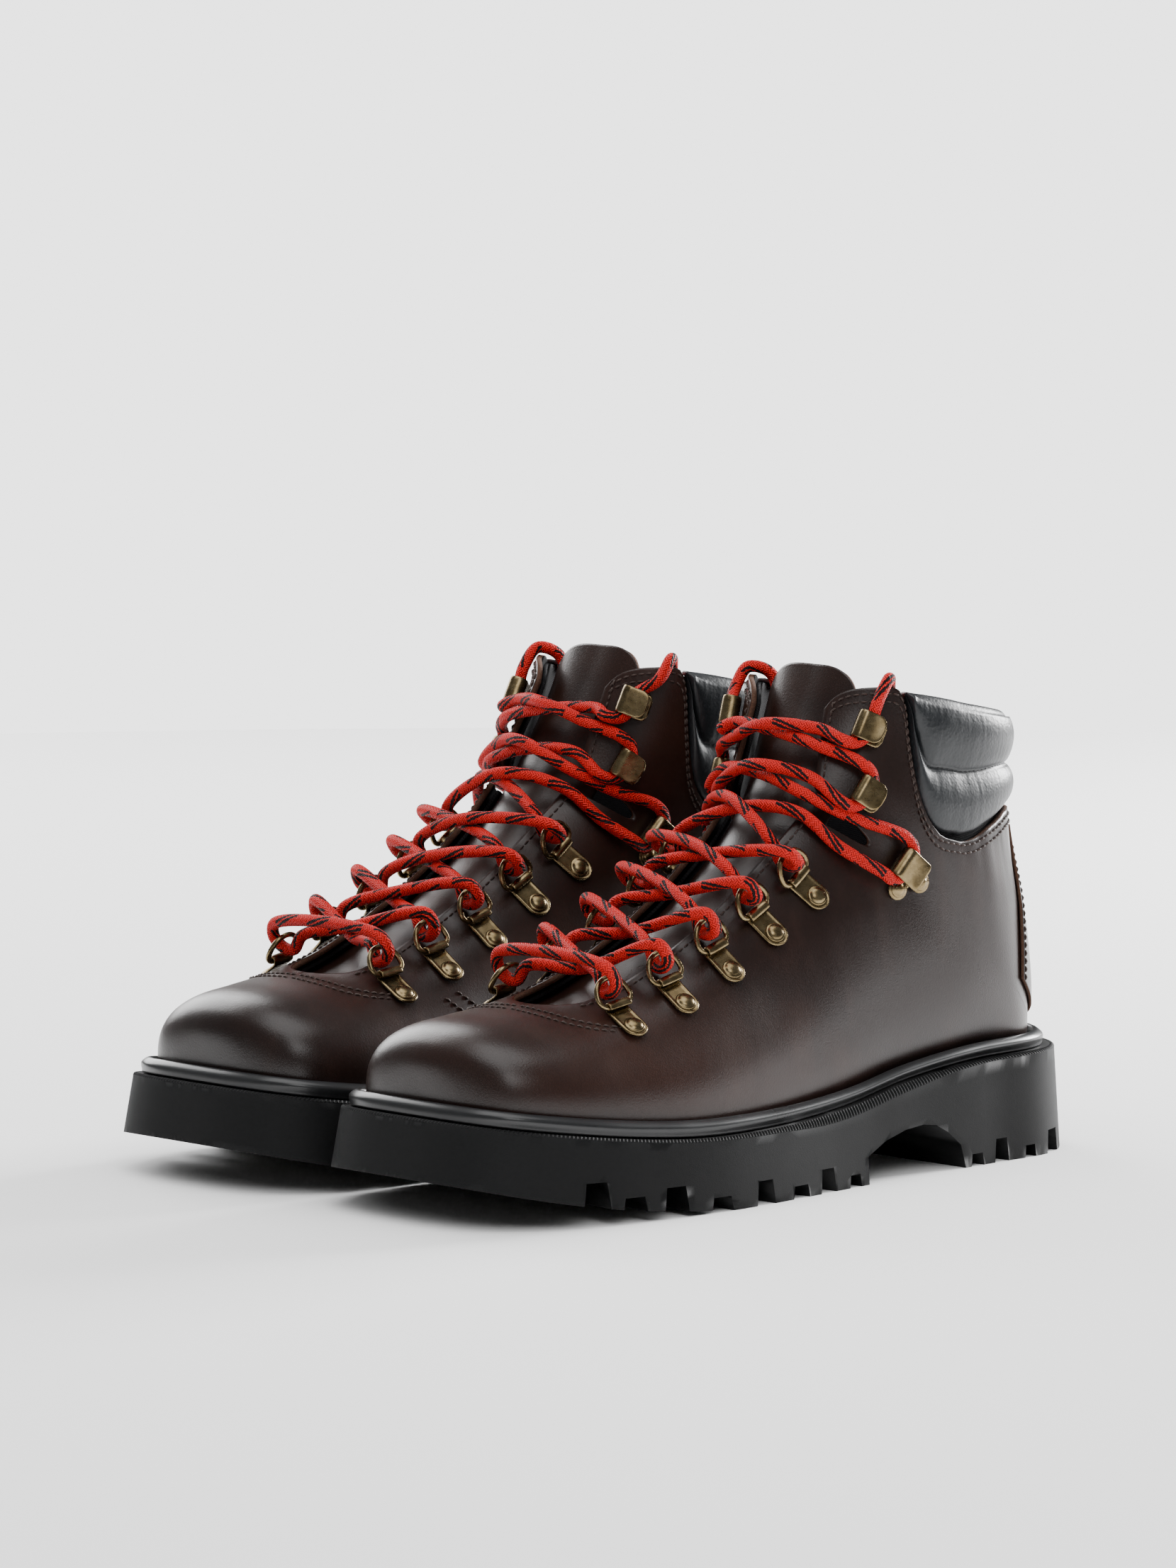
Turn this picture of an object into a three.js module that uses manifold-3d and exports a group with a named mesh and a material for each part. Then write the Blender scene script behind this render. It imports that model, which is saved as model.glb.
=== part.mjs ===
// A pair of laced leather hiking boots: welted lug soles, stitched uppers, padded collars,
// riveted D-rings, ankle lock hooks, speed hooks and round laces.
//
// Frame: millimetres, +Z up, origin on the floor midway between the boots, toes towards -Y.
// The left boot stands at +X and the right boot is its mirror image at -X.
//
// One boot is worked out in last coordinates: x towards the little toe, f forward from the
// heel end of the sole, z up. Its outside is one surface, the last: a row of slanted rings,
// each a pair of half superellipses between a bottom (or back) point and a top (or front)
// point. A place on it is (turn, v): turn runs from 0 at the bottom or back of a ring to 1
// at its top or front, and v runs from 0 at the toe tip to 1 at the collar top.

import * as THREE from 'three';
import { mergeVertices } from 'three/addons/utils/BufferGeometryUtils.js';
import Module from 'manifold-3d';

const wasm = await Module();
wasm.setup();

// ---- driving dimensions (mm) ----

const LAST_LENGTH = 287.5;     // toe tip of the upper, from the sole's heel end
const LAST_HEIGHT = 161;       // top of the collar at the back
const BALL_HALF_WIDTH = 48.5;  // half the upper's width at the ball of the foot
const TREAD_END = 306;         // toe end of the tread, from the sole's heel end
const BOOTS_APART = 28;        // boots' uppers at the ball, from one to the other
const BOOT_SPACING = 2 * BALL_HALF_WIDTH + BOOTS_APART;
const SOLE_LEDGE = 9.5;        // how far the sole stands out beyond the upper
const TOE_SPRING = 17;         // how far the tread rises at the toe
const LEATHER = 2;             // thickness of the upper's leather
const LINING = 1.2;            // thickness of the lining
const INTERLINING = 1.6;       // room between leather and lining for stays and stiffeners
const TONGUE_THICKNESS = 3;
const BOARD = 2;               // insole board
const FOOTBED = 3.5;
const SHANK_WIDTH = 16;
const SHANK_THICKNESS = 1.2;
const WELT_BEAD = 2.9;         // radius of the rounded storm welt
const THROAT_HALF = 18;        // half the gap between the facings
const WIRE = 1;                // radius of the D-ring wire
const D_HALF_WIDTH = 7;
const D_REACH = 10.5;          // bar to the crown of the bow
const D_TILT = 30;             // degrees that the laced ring stands up from the leather
const CLIP_WIDTH = 9.5;
const CLIP_METAL = 1;
const BARREL = 2.2;            // outer radius of the clip's rolled barrel
const RIVET_BACK = 9.5;        // barrel to rivet
const RIVET_HEAD = 3.7;
const RIVET_SHANK = 1.6;
const WASHER = 1.95;           // radius of the washer a rivet is clenched on
const HOOK_WIDTH = 9;
const HOOK_GAP = 5;            // clear height of a hook's throat
const LOCK_WIDTH = 10.5;
const LACE = 2.25;             // radius of the lace
const CUT_DEPTH = 18;          // how far a tread notch runs in from the edge

// ---- clearances (mm) ----

const GAP = 0.3;               // between pieces that touch on the real boot
const BORE_GAP = 0.35;         // D-ring wire in its barrel
const HOLE_GAP = 0.4;          // rivet shank in the leather
const PLATE_LIFT = 0.9;        // flat metal over the curved leather, at its edges

const LENGTH_SCALE = LAST_LENGTH / 287.5;
const HEIGHT_SCALE = LAST_HEIGHT / 161;
const WIDTH_SCALE = BALL_HALF_WIDTH / 48.5;

// ---- the last ----
// One row for each ring: forward and height of its top point, forward and height of its
// bottom point, half width, share of the ring below its widest line, exponent below it,
// exponent above it, sideways shift, and how much narrower it is at its bottom.

const RINGS = [
  [287.5, 48, 287.5, 28, 0, 0.45, 3.0, 2.2, -6, 0],
  [286.5, 56, 286.5, 28, 21, 0.42, 3.0, 2.2, -6, 0],
  [282, 62, 282, 27, 34, 0.4, 3.2, 2.3, -6, 0],
  [272.5, 66, 272.5, 25, 41.5, 0.38, 3.4, 2.3, -6, 0],
  [256.5, 68, 256.5, 22, 46, 0.36, 3.6, 2.3, -5, 0],
  [236, 71, 234, 19, 48, 0.34, 3.8, 2.3, -3.5, 0],
  [213, 78, 204, 17, 48.5, 0.32, 4.0, 2.2, -2, 0],
  [190, 90, 170, 17, 46, 0.34, 4.0, 2.1, -1, 0.02],
  [170, 103, 130, 20, 43, 0.37, 4.0, 2.1, -1, 0.1],
  [153, 116, 88, 26, 41.5, 0.42, 3.8, 2.2, -1, 0.18],
  [141, 127, 46, 28, 41, 0.46, 3.4, 2.3, -1, 0.24],
  [133, 137, 13.5, 28, 41, 0.48, 3.0, 2.4, -1.5, 0.24],
  [127, 145, 9, 48, 41.5, 0.5, 2.6, 2.5, -2, 0.1],
  [122, 153, 12, 74, 42, 0.52, 2.5, 2.5, -3, 0.02],
  [117.5, 161, 16.5, 98, 42, 0.52, 2.4, 2.5, -4.5, 0],
  [113.5, 169, 19, 121, 42, 0.52, 2.4, 2.5, -5.5, 0],
  [110, 177, 20.5, 143, 42.5, 0.52, 2.4, 2.5, -6, 0],
  [107, 184, 21, 161, 43, 0.52, 2.4, 2.5, -6.5, 0],
];
const RING_SCALE = [LENGTH_SCALE, HEIGHT_SCALE, LENGTH_SCALE, HEIGHT_SCALE, WIDTH_SCALE, 1, 1, 1, WIDTH_SCALE, 1];

// Smooth curve through rows of values at rising knots, its slopes taken from the neighbours.
function smooth(knots, rows, at) {
  const last = knots.length - 1;
  let i = 0;
  while (i < last - 1 && at >= knots[i + 1]) i += 1;
  const slope = (k, c) => {
    const a = Math.max(0, k - 1);
    const b = Math.min(last, k + 1);
    return (rows[b][c] - rows[a][c]) / (knots[b] - knots[a]);
  };
  const step = knots[i + 1] - knots[i];
  const t = (at - knots[i]) / step;
  const t2 = t * t;
  const t3 = t2 * t;
  return rows[0].map((_, c) => (2 * t3 - 3 * t2 + 1) * rows[i][c] + (t3 - 2 * t2 + t) * step * slope(i, c)
    + (3 * t2 - 2 * t3) * rows[i + 1][c] + (t3 - t2) * step * slope(i + 1, c));
}

// A curve of one value: pairs of [place, value].
function curve(pairs) {
  const knots = pairs.map((p) => p[0]);
  const rows = pairs.map((p) => [p[1]]);
  return (at) => smooth(knots, rows, at)[0];
}

// The ring before the toe tip mirrors the one behind it, so the tip closes round.
const ringKnots = [-1, ...RINGS.keys()].map((k) => k / (RINGS.length - 1));
const ringRows = [RINGS[1], ...RINGS].map((row) => row.map((value, c) => value * RING_SCALE[c]));
ringRows[0][4] *= -1;
ringRows[0][1] = 2 * ringRows[1][1] - ringRows[2][1];

// The point of the last at (turn, v) on a side, +1 lateral or -1 medial.
function lastPoint(turn, v, side) {
  const [fTop, zTop, fLow, zLow, half, widest, nLow, nHigh, shift, pinch] = smooth(ringKnots, ringRows, v);
  const angle = turn * Math.PI;
  const along = Math.abs(Math.cos(angle));
  const across = Math.abs(Math.sin(angle));
  const low = turn < 0.5;
  const n = low ? nLow : nHigh;
  const rise = along ** (2 / n);
  const share = low ? widest * (1 - rise) : widest + (1 - widest) * rise;
  const narrow = low ? 1 - pinch * along * along : 1;
  const x = shift + side * half * across ** (2 / n) * narrow;
  return new THREE.Vector3(x, fLow + (fTop - fLow) * share, zLow + (zTop - zLow) * share);
}

// From last coordinates to the row frame, for the left boot.
function toWorld(p) {
  return new THREE.Vector3(BOOT_SPACING / 2 + p.x, CENTRE - p.y, p.z);
}

// Outward normal of the last in last coordinates, from two short steps on the surface.
function lastNormal(turn, v, side) {
  const d = 0.004;
  const t = Math.min(0.996, Math.max(0.004, turn));
  const alongV = lastPoint(t, Math.min(1, v + d), side).sub(lastPoint(t, v - d, side));
  const alongTurn = lastPoint(t + d, v, side).sub(lastPoint(t - d, v, side));
  const n = alongV.cross(alongTurn).normalize().multiplyScalar(-side);
  return n;
}

// A point off the last by a distance along its normal.
function offLast(turn, v, side, distance) {
  return lastPoint(turn, v, side).addScaledVector(lastNormal(turn, v, side), distance);
}

// ---- sole heights and the feather line ----

// Height of the sole's top surface, and of its tread, at a distance forward.
const soleTopCurve = curve([[-10, 38], [40, 38], [68, 37], [100, 33.5], [125, 29], [150, 26.5], [180, 25.5],
  [210, 26], [235, 28], [260, 31], [285, 34.5], [310, 38.5]]);
const soleTop = (f) => soleTopCurve(f / LENGTH_SCALE);
const treadRise = (f) => {
  const toe = Math.max(0, (f - 175 * LENGTH_SCALE) / ((TREAD_END - 175) * LENGTH_SCALE));
  const heel = Math.max(0, 1 - f / 18);
  return TOE_SPRING * toe * toe + 1.5 * heel * heel;
};

// Turn at which the last stands a lift above the sole, at v, found by halving.
function featherTurn(v, side, lift = 0) {
  const above = (turn) => {
    const p = lastPoint(turn, v, side);
    return p.z - soleTop(p.y) - GAP - lift;
  };
  if (above(0) >= 0) return 0;
  let low = 0;
  let high = 0.5;
  for (let k = 0; k < 30; k += 1) {
    const middle = (low + high) / 2;
    if (above(middle) < 0) low = middle;
    else high = middle;
  }
  return high;
}

// v of the ring whose bottom point is a lift above the sole: behind it the back line begins.
function heelV(lift = 0) {
  let low = 0.5;
  let high = 0.9;
  for (let k = 0; k < 30; k += 1) {
    const middle = (low + high) / 2;
    if (featherTurn(middle, 1, lift) > 0) low = middle;
    else high = middle;
  }
  return high;
}
const HEEL_V = heelV();

// ---- seam lines on the last ----

const THROAT_V = 0.285;
const THROAT_ROUND = 0.035;
const throatCurve = curve([[0.25, 0.88], [0.35, 0.93], [0.55, 1], [0.68, 1.18], [0.78, 1.1], [0.87, 1.03], [1, 1]]);

// Turn of the facing's edge: 1 ahead of the throat, then a rounded end and a slot.
function facingTurn(v) {
  if (v <= THROAT_V) return 1;
  const into = Math.min(1, (v - THROAT_V) / THROAT_ROUND);
  const half = THROAT_HALF * throatCurve(v) * Math.sqrt(1 - (1 - into) ** 2);
  const ring = smooth(ringKnots, ringRows, v);
  const across = (half / ring[4]) ** (ring[7] / 2);
  return 1 - Math.asin(Math.min(0.9, across)) / Math.PI;
}

// v of the leather's top edge at a turn: collar seam, dip at the ankle, flap.
const leatherTop = curve([[0, 0.895], [0.15, 0.89], [0.295, 0.87], [0.407, 0.83], [0.477, 0.792], [0.52, 0.766],
  [0.557, 0.762], [0.59, 0.79], [0.62, 0.86], [0.65, 0.935], [0.68, 0.957], [0.75, 0.945], [0.82, 0.925],
  [0.86, 0.9], [0.885, 0.866]]);
// v of the collar's top edge at a turn.
const collarTop = curve([[0, 0.995], [0.2, 0.993], [0.407, 0.982], [0.55, 0.968], [0.65, 0.957], [0.7, 0.953]]);
// v of the lining's top edge: under the collar's edge, and just inside the flap's.
const liningTop = (turn) => Math.min(collarTop(turn) - 0.012, turn > 0.6 ? leatherTop(Math.max(turn, 0.68)) - 0.01 : 1);

// ---- mesh building ----

function geometryOf(points, triangles) {
  const positions = new Float32Array(points.flatMap((p) => [p.x, p.y, p.z]));
  let geometry = new THREE.BufferGeometry();
  geometry.setAttribute('position', new THREE.BufferAttribute(positions, 3));
  geometry.setIndex(triangles);
  geometry = mergeVertices(geometry, 1e-3);
  return outward(geometry);
}

// Turns every face round if the solid is inside out.
function outward(geometry) {
  const index = geometry.index.array;
  const p = geometry.attributes.position;
  const at = (k) => new THREE.Vector3().fromBufferAttribute(p, index[k]);
  const kept = [];
  let volume = 0;
  for (let k = 0; k < index.length; k += 3) {
    const flat = index[k] === index[k + 1] || index[k + 1] === index[k + 2] || index[k] === index[k + 2];
    if (!flat) {
      kept.push(index[k], index[k + 1], index[k + 2]);
      volume += at(k).dot(at(k + 1).cross(at(k + 2)));
    }
  }
  if (volume < 0) kept.reverse();
  geometry.setIndex(kept);
  return geometry;
}

// Triangles of a grid of rows of equal length, whose points start at an index.
function gridTriangles(rows, columns, start, flip) {
  const triangles = [];
  for (let i = 0; i < rows - 1; i += 1) {
    for (let j = 0; j < columns - 1; j += 1) {
      const a = start + i * columns + j;
      const b = a + 1;
      const c = a + columns;
      const d = c + 1;
      triangles.push(...(flip ? [a, b, d, a, d, c] : [a, d, b, a, c, d]));
    }
  }
  return triangles;
}

// A shell between two offsets of a surface given as grids of {p, n, out, in}: p on the
// surface, n its normal, out and in the two distances. Open edges get a wall.
function shell(grids) {
  const places = [];
  const keys = new Map();
  const triangles = [];
  const indexOf = (node) => {
    const key = [node.p.x, node.p.y, node.p.z].map((c) => c.toFixed(2)).join(' ');
    if (!keys.has(key)) {
      keys.set(key, places.length);
      places.push({ ...node, n: new THREE.Vector3() });
    }
    const k = keys.get(key);
    places[k].n.add(node.n);
    return k;
  };
  grids.forEach((grid) => {
    const columns = grid.rows[0].length;
    const ids = grid.rows.flat().map(indexOf);
    gridTriangles(grid.rows.length, columns, 0, grid.side < 0).forEach((k) => triangles.push(ids[k]));
  });
  const count = places.length;
  const points = [];
  places.forEach((q) => points.push(q.p.clone().addScaledVector(q.n.normalize(), q.out)));
  places.forEach((q) => points.push(q.p.clone().addScaledVector(q.n, q.in)));
  const faces = [];
  const edges = new Map();
  for (let k = 0; k < triangles.length; k += 3) {
    const [a, b, c] = [triangles[k], triangles[k + 1], triangles[k + 2]];
    if (a !== b && b !== c && a !== c) {
      faces.push(a, b, c, count + c, count + b, count + a);
      [[a, b], [b, c], [c, a]].forEach(([s, e]) => {
        if (edges.has(`${e} ${s}`)) edges.delete(`${e} ${s}`);
        else edges.set(`${s} ${e}`, [s, e]);
      });
    }
  }
  edges.forEach(([s, e]) => faces.push(s, count + e, e, s, count + s, count + e));
  return geometryOf(points.map(toWorld), faces);
}

// A node of a shell on the last.
function shellNode(turn, v, side, out, inner) {
  return { p: lastPoint(turn, v, side), n: lastNormal(turn, v, side), out, in: inner };
}

// A closed solid through loops of points, with flat ladders of quads as its two ends.
// Each loop has a lateral and a medial run, both from the toe tip to the heel end.
function loft(loops) {
  const rungs = loops[0].lateral.length;
  const points = [];
  const ring = loops.map((loop) => {
    const round = [...loop.lateral, ...loop.medial.slice(1, -1).reverse()];
    return round.map((p) => points.push(p) - 1);
  });
  const size = ring[0].length;
  const faces = [];
  for (let k = 0; k < ring.length - 1; k += 1) {
    for (let i = 0; i < size; i += 1) {
      const j = (i + 1) % size;
      faces.push(ring[k][i], ring[k][j], ring[k + 1][j], ring[k][i], ring[k + 1][j], ring[k + 1][i]);
    }
  }
  const cap = (ids, flip) => {
    const right = (i) => ids[i];
    const left = (i) => ids[(size - i) % size];
    for (let i = 0; i < rungs - 1; i += 1) {
      const quad = [right(i), right(i + 1), left(i + 1), right(i), left(i + 1), left(i)];
      faces.push(...(flip ? quad.reverse() : quad));
    }
  };
  cap(ring[0], true);
  cap(ring[ring.length - 1], false);
  return geometryOf(points.map(toWorld), faces);
}

// A closed round wire through a flat closed line of points, in the plane of u and v.
function flatWire(line, radius, sides, origin, u, v) {
  const n = new THREE.Vector3().crossVectors(u, v);
  const size = line.length;
  const points = [];
  line.forEach((p, i) => {
    const before = line[(i + size - 1) % size];
    const after = line[(i + 1) % size];
    const ahead = [after[0] - before[0], after[1] - before[1]];
    const long = Math.hypot(...ahead);
    const out = u.clone().multiplyScalar(ahead[1] / long).addScaledVector(v, -ahead[0] / long);
    const middle = origin.clone().addScaledVector(u, p[0]).addScaledVector(v, p[1]);
    for (let k = 0; k < sides; k += 1) {
      const angle = (k / sides) * 2 * Math.PI;
      points.push(middle.clone().addScaledVector(out, radius * Math.cos(angle))
        .addScaledVector(n, radius * Math.sin(angle)));
    }
  });
  const faces = [];
  for (let i = 0; i < size; i += 1) {
    for (let k = 0; k < sides; k += 1) {
      const a = i * sides + k;
      const b = i * sides + ((k + 1) % sides);
      const c = ((i + 1) % size) * sides + k;
      const d = ((i + 1) % size) * sides + ((k + 1) % sides);
      faces.push(a, c, d, a, d, b);
    }
  }
  return geometryOf(points, faces);
}

function solidOf(geometry) {
  const bare = geometry.index ? geometry.clone() : geometry.clone();
  bare.deleteAttribute('normal');
  bare.deleteAttribute('uv');
  const merged = outward(mergeVertices(bare, 1e-3));
  const vertProperties = merged.attributes.position.array;
  const triVerts = new Uint32Array(merged.index.array);
  return new wasm.Manifold(new wasm.Mesh({ numProp: 3, vertProperties, triVerts }));
}

function geometryFrom(solid) {
  const mesh = solid.getMesh();
  const geometry = new THREE.BufferGeometry();
  geometry.setAttribute('position', new THREE.BufferAttribute(new Float32Array(mesh.vertProperties), 3));
  geometry.setIndex(Array.from(mesh.triVerts));
  return geometry;
}

// ---- the upper, its lining and stiffeners ----

const HEEL_ROWS = [HEEL_V - 0.05, HEEL_V - 0.025, HEEL_V - 0.008, HEEL_V];
const UPPER_ROWS = [0, 0.03, 0.07, 0.13, 0.2, THROAT_V, 0.294, 0.32, 0.38, 0.44, 0.5, 0.56, ...HEEL_ROWS];
const LINING_ROWS = [0, 0.03, 0.07, 0.13, 0.2, THROAT_V, 0.32, 0.38, 0.44, 0.5, 0.56, ...HEEL_ROWS];
const UPPER_COLUMNS = [0, 0.15, 0.3, 0.45, 0.54, 0.6, 0.65, 0.7, 0.78, 0.9, 1];
const LINING_COLUMNS = [0, 0.15, 0.3, 0.55, 0.8, 1];
const COUNTER_COLUMNS = [0, 0.15, 0.3];
const SHAFT_ROWS = 4;

// Both sides of a shell that covers the whole foot and shaft, up to a top line.
function bootShell(footRows, columns, topV, trim, out, inner) {
  const grids = [];
  [1, -1].forEach((side) => {
    const rows = [];
    const edge = (v) => facingTurn(v) - (v > THROAT_V ? trim * Math.min(1, (v - THROAT_V) / THROAT_ROUND) : 0);
    footRows.forEach((v) => {
      const low = featherTurn(v, side);
      const high = edge(v);
      rows.push(columns.map((t) => shellNode(low + (high - low) * t, v, side, out, inner)));
    });
    for (let k = 1; k <= SHAFT_ROWS; k += 1) {
      rows.push(columns.map((t) => {
        const guess = t * edge(0.85);
        const v = HEEL_V + (topV(guess) - HEEL_V) * (k / SHAFT_ROWS);
        return shellNode(t * edge(v), v, side, out, inner);
      }));
    }
    grids.push({ rows, side });
  });
  return shell(grids);
}

// The places of the riveted metal on the last: turn and v for each side.
const D_ROW = [[0.745, 0.323], [0.741, 0.379], [0.735, 0.434], [0.729, 0.49], [0.717, 0.548]];
const LOCK_PLACE = { 1: [0.622, 0.668], '-1': [0.648, 0.66] };
const HOOK_PLACES = { 1: [[0.728, 0.733], [0.745, 0.855]], '-1': [[0.745, 0.733], [0.78, 0.855]] };

// Frame of a riveted piece: origin on the leather, u towards the throat, w along the facing
// towards the collar, n outwards, all in the row frame.
function seat(turn, v, side) {
  const origin = toWorld(lastPoint(turn, v, side));
  const towards = toWorld(lastPoint(turn + 0.03, v, side));
  const normal = toWorld(offLast(turn, v, side, 1)).sub(origin).normalize();
  const u = towards.sub(origin).projectOnPlane(normal).normalize();
  const w = new THREE.Vector3().crossVectors(u, normal).multiplyScalar(side);
  return { origin, u, n: normal, w, side };
}

// A point of a seat's frame.
function inSeat(s, u, n, w) {
  return s.origin.clone().addScaledVector(s.u, u).addScaledVector(s.n, n).addScaledVector(s.w, w);
}

function placed(geometry, s) {
  const matrix = new THREE.Matrix4().makeBasis(s.u, s.n, s.w.clone().multiplyScalar(1));
  matrix.setPosition(s.origin);
  return geometry.applyMatrix4(matrix);
}

// A rivet's shank and washer, straight down through the leather.
function shank(s, u, w, top) {
  const bottom = -LEATHER - 1;
  const pin = new THREE.CylinderGeometry(RIVET_SHANK, RIVET_SHANK, top - bottom, 6);
  pin.translate(u, (top + bottom) / 2, w);
  const geometry = placed(pin, s);
  return solidOf(geometry);
}

function shankHole(s, u, w) {
  const pin = new THREE.CylinderGeometry(RIVET_SHANK + HOLE_GAP, RIVET_SHANK + HOLE_GAP, 12, 6);
  pin.translate(u, 0, w);
  return solidOf(placed(pin, s));
}

function washer(s, u, w) {
  const disc = new THREE.CylinderGeometry(WASHER, WASHER, 0.3, 6);
  disc.translate(u, -LEATHER - 0.9 - 0.15, w);
  return solidOf(placed(disc, s));
}

function rivetHead(s, u, w, base) {
  const dome = new THREE.CylinderGeometry(RIVET_HEAD * 0.5, RIVET_HEAD, 1.6, 6);
  dome.translate(u, base + 0.8, w);
  return solidOf(placed(dome, s));
}

// ---- D-rings and their clips ----

// The clip's frame sits on the chord from its rivet to its barrel.
function clipSeat(k, side) {
  const [turn, v] = D_ROW[k];
  const rivet = seat(turn, v, side);
  const step = RIVET_BACK / Math.PI / BALL_HALF_WIDTH;
  const barrel = toWorld(lastPoint(turn + step * 1.18, v, side));
  const u = barrel.clone().sub(rivet.origin).normalize();
  const n = rivet.n.clone().addScaledVector(u, -rivet.n.dot(u)).normalize();
  const w = new THREE.Vector3().crossVectors(u, n).multiplyScalar(side);
  return { origin: rivet.origin.clone().addScaledVector(u, RIVET_BACK), u, n, w, side };
}

const BARREL_HEIGHT = PLATE_LIFT + BARREL;
const tilt = (D_TILT * Math.PI) / 180;

// Directions of the tilted ring: along it, towards the bow, and square to it, upwards.
function ringAxes(s) {
  const along = s.u.clone().multiplyScalar(Math.cos(tilt)).addScaledVector(s.n, Math.sin(tilt));
  const square = s.u.clone().multiplyScalar(-Math.sin(tilt)).addScaledVector(s.n, Math.cos(tilt));
  return { along, square };
}

// Outline of the ring: a straight bar, two tight corners and a rounded bow.
function ringOutline() {
  const bar = D_HALF_WIDTH - 1.5;
  const line = [[-bar, 0], [bar, 0]];
  const steps = 7;
  for (let k = 0; k <= steps; k += 1) {
    const angle = (k / steps) * Math.PI;
    line.push([D_HALF_WIDTH * Math.cos(angle), 1.6 + (D_REACH - 1.6) * Math.sin(angle) ** 0.8]);
  }
  return line;
}

function dRing(k, side) {
  const s = clipSeat(k, side);
  const { along } = ringAxes(s);
  return flatWire(ringOutline(), WIRE, 5, inSeat(s, 0, BARREL_HEIGHT, 0), s.w, along);
}

// Side view of a clip: a rolled barrel with its bore, and a flat plate behind it.
function clipBody(s) {
  const profile = new THREE.Shape();
  const tail = -RIVET_BACK - 5;
  profile.moveTo(tail, PLATE_LIFT);
  profile.lineTo(0, PLATE_LIFT);
  profile.absarc(0, BARREL_HEIGHT, BARREL, -Math.PI / 2, Math.PI * 0.8, false);
  profile.lineTo(-BARREL - 0.6, PLATE_LIFT + CLIP_METAL);
  profile.lineTo(tail, PLATE_LIFT + CLIP_METAL);
  profile.closePath();
  const bore = new THREE.Path();
  bore.absarc(0, BARREL_HEIGHT, WIRE + BORE_GAP, 0, Math.PI * 2, true);
  profile.holes.push(bore);
  const body = new THREE.ExtrudeGeometry(profile, { depth: CLIP_WIDTH, bevelEnabled: false, curveSegments: 3 });
  body.translate(0, 0, -CLIP_WIDTH / 2);
  return solidOf(placed(body, s));
}

// The stay: a strip between leather and lining that the five rivets are clenched on.
function facingStay(side) {
  const stayHalf = 0.032;
  const line = curve(D_ROW.map(([turn, v]) => [v, turn]));
  const first = D_ROW[0][1] - 0.018;
  const final = D_ROW[D_ROW.length - 1][1] + 0.018;
  const rows = [];
  const steps = 6;
  for (let k = 0; k <= steps; k += 1) {
    const v = first + (final - first) * (k / steps);
    rows.push([-1, 1].map((e) => shellNode(line(v) + e * stayHalf, v, side, -LEATHER - 0.4, -LEATHER - 0.9)));
  }
  return solidOf(shell([{ rows, side }]));
}

function clipRow(side) {
  let row = facingStay(side);
  D_ROW.forEach((_, k) => {
    const s = clipSeat(k, side);
    row = row.add(clipBody(s)).add(shank(s, -RIVET_BACK, 0, PLATE_LIFT + CLIP_METAL / 2));
    row = row.add(rivetHead(s, -RIVET_BACK, 0, PLATE_LIFT + CLIP_METAL - 0.05));
  });
  return geometryFrom(row);
}

// ---- hooks ----

const HOOK_BACK = 6;
const HOOK_FRONT = 5;

// Side view of a hook: a foot on the leather, a bend towards the throat and a tab that
// comes back over the lace.
function hookProfile(tabLength) {
  const low = PLATE_LIFT;
  const high = low + 2 * CLIP_METAL + HOOK_GAP;
  const profile = new THREE.Shape();
  profile.moveTo(-HOOK_BACK, low);
  profile.lineTo(HOOK_FRONT - 1, low);
  profile.lineTo(HOOK_FRONT + 1, low + 2);
  profile.lineTo(HOOK_FRONT + 1, high - 2);
  profile.lineTo(HOOK_FRONT - 1, high);
  profile.lineTo(HOOK_FRONT - tabLength, high);
  profile.lineTo(HOOK_FRONT - tabLength, high - CLIP_METAL);
  profile.lineTo(HOOK_FRONT - 1.4, high - CLIP_METAL);
  profile.lineTo(HOOK_FRONT, high - CLIP_METAL - 1.4);
  profile.lineTo(HOOK_FRONT, low + CLIP_METAL + 1.4);
  profile.lineTo(HOOK_FRONT - 1.4, low + CLIP_METAL);
  profile.lineTo(-HOOK_BACK, low + CLIP_METAL);
  profile.closePath();
  return profile;
}

function hookBody(s, width, tabLength) {
  const body = new THREE.ExtrudeGeometry(hookProfile(tabLength), { depth: width, bevelEnabled: false });
  body.translate(0, 0, -width / 2);
  return solidOf(placed(body, s));
}

function riveted(solid, s, u, w) {
  return solid.add(shank(s, u, w, PLATE_LIFT + CLIP_METAL / 2)).add(washer(s, u, w));
}

const hookSeat = (k, side) => seat(...HOOK_PLACES[side][k], side);
const lockSeat = (side) => seat(...LOCK_PLACE[side], side);
const HOOK_RIVET = -3;
const LOCK_RIVETS = [[-8, 0], [-2, -7.6]];
const LOBE_RISE = 0.42;        // lobes over the foot, clear of the curved leather

function speedHook(k, side) {
  const s = hookSeat(k, side);
  return geometryFrom(riveted(hookBody(s, HOOK_WIDTH, 10), s, HOOK_RIVET, 0));
}

// The lock hook has two riveted lobes, one behind its foot and one below it.
function lockHook(side) {
  const s = lockSeat(side);
  let solid = hookBody(s, LOCK_WIDTH, 11);
  LOCK_RIVETS.forEach(([u, w]) => {
    const lobe = new THREE.CylinderGeometry(RIVET_HEAD, RIVET_HEAD, CLIP_METAL, 6);
    lobe.translate(u, PLATE_LIFT + LOBE_RISE + CLIP_METAL / 2, w);
    solid = solid.add(solidOf(placed(lobe, s)));
    solid = riveted(solid, s, u, w);
  });
  return geometryFrom(solid);
}

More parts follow.
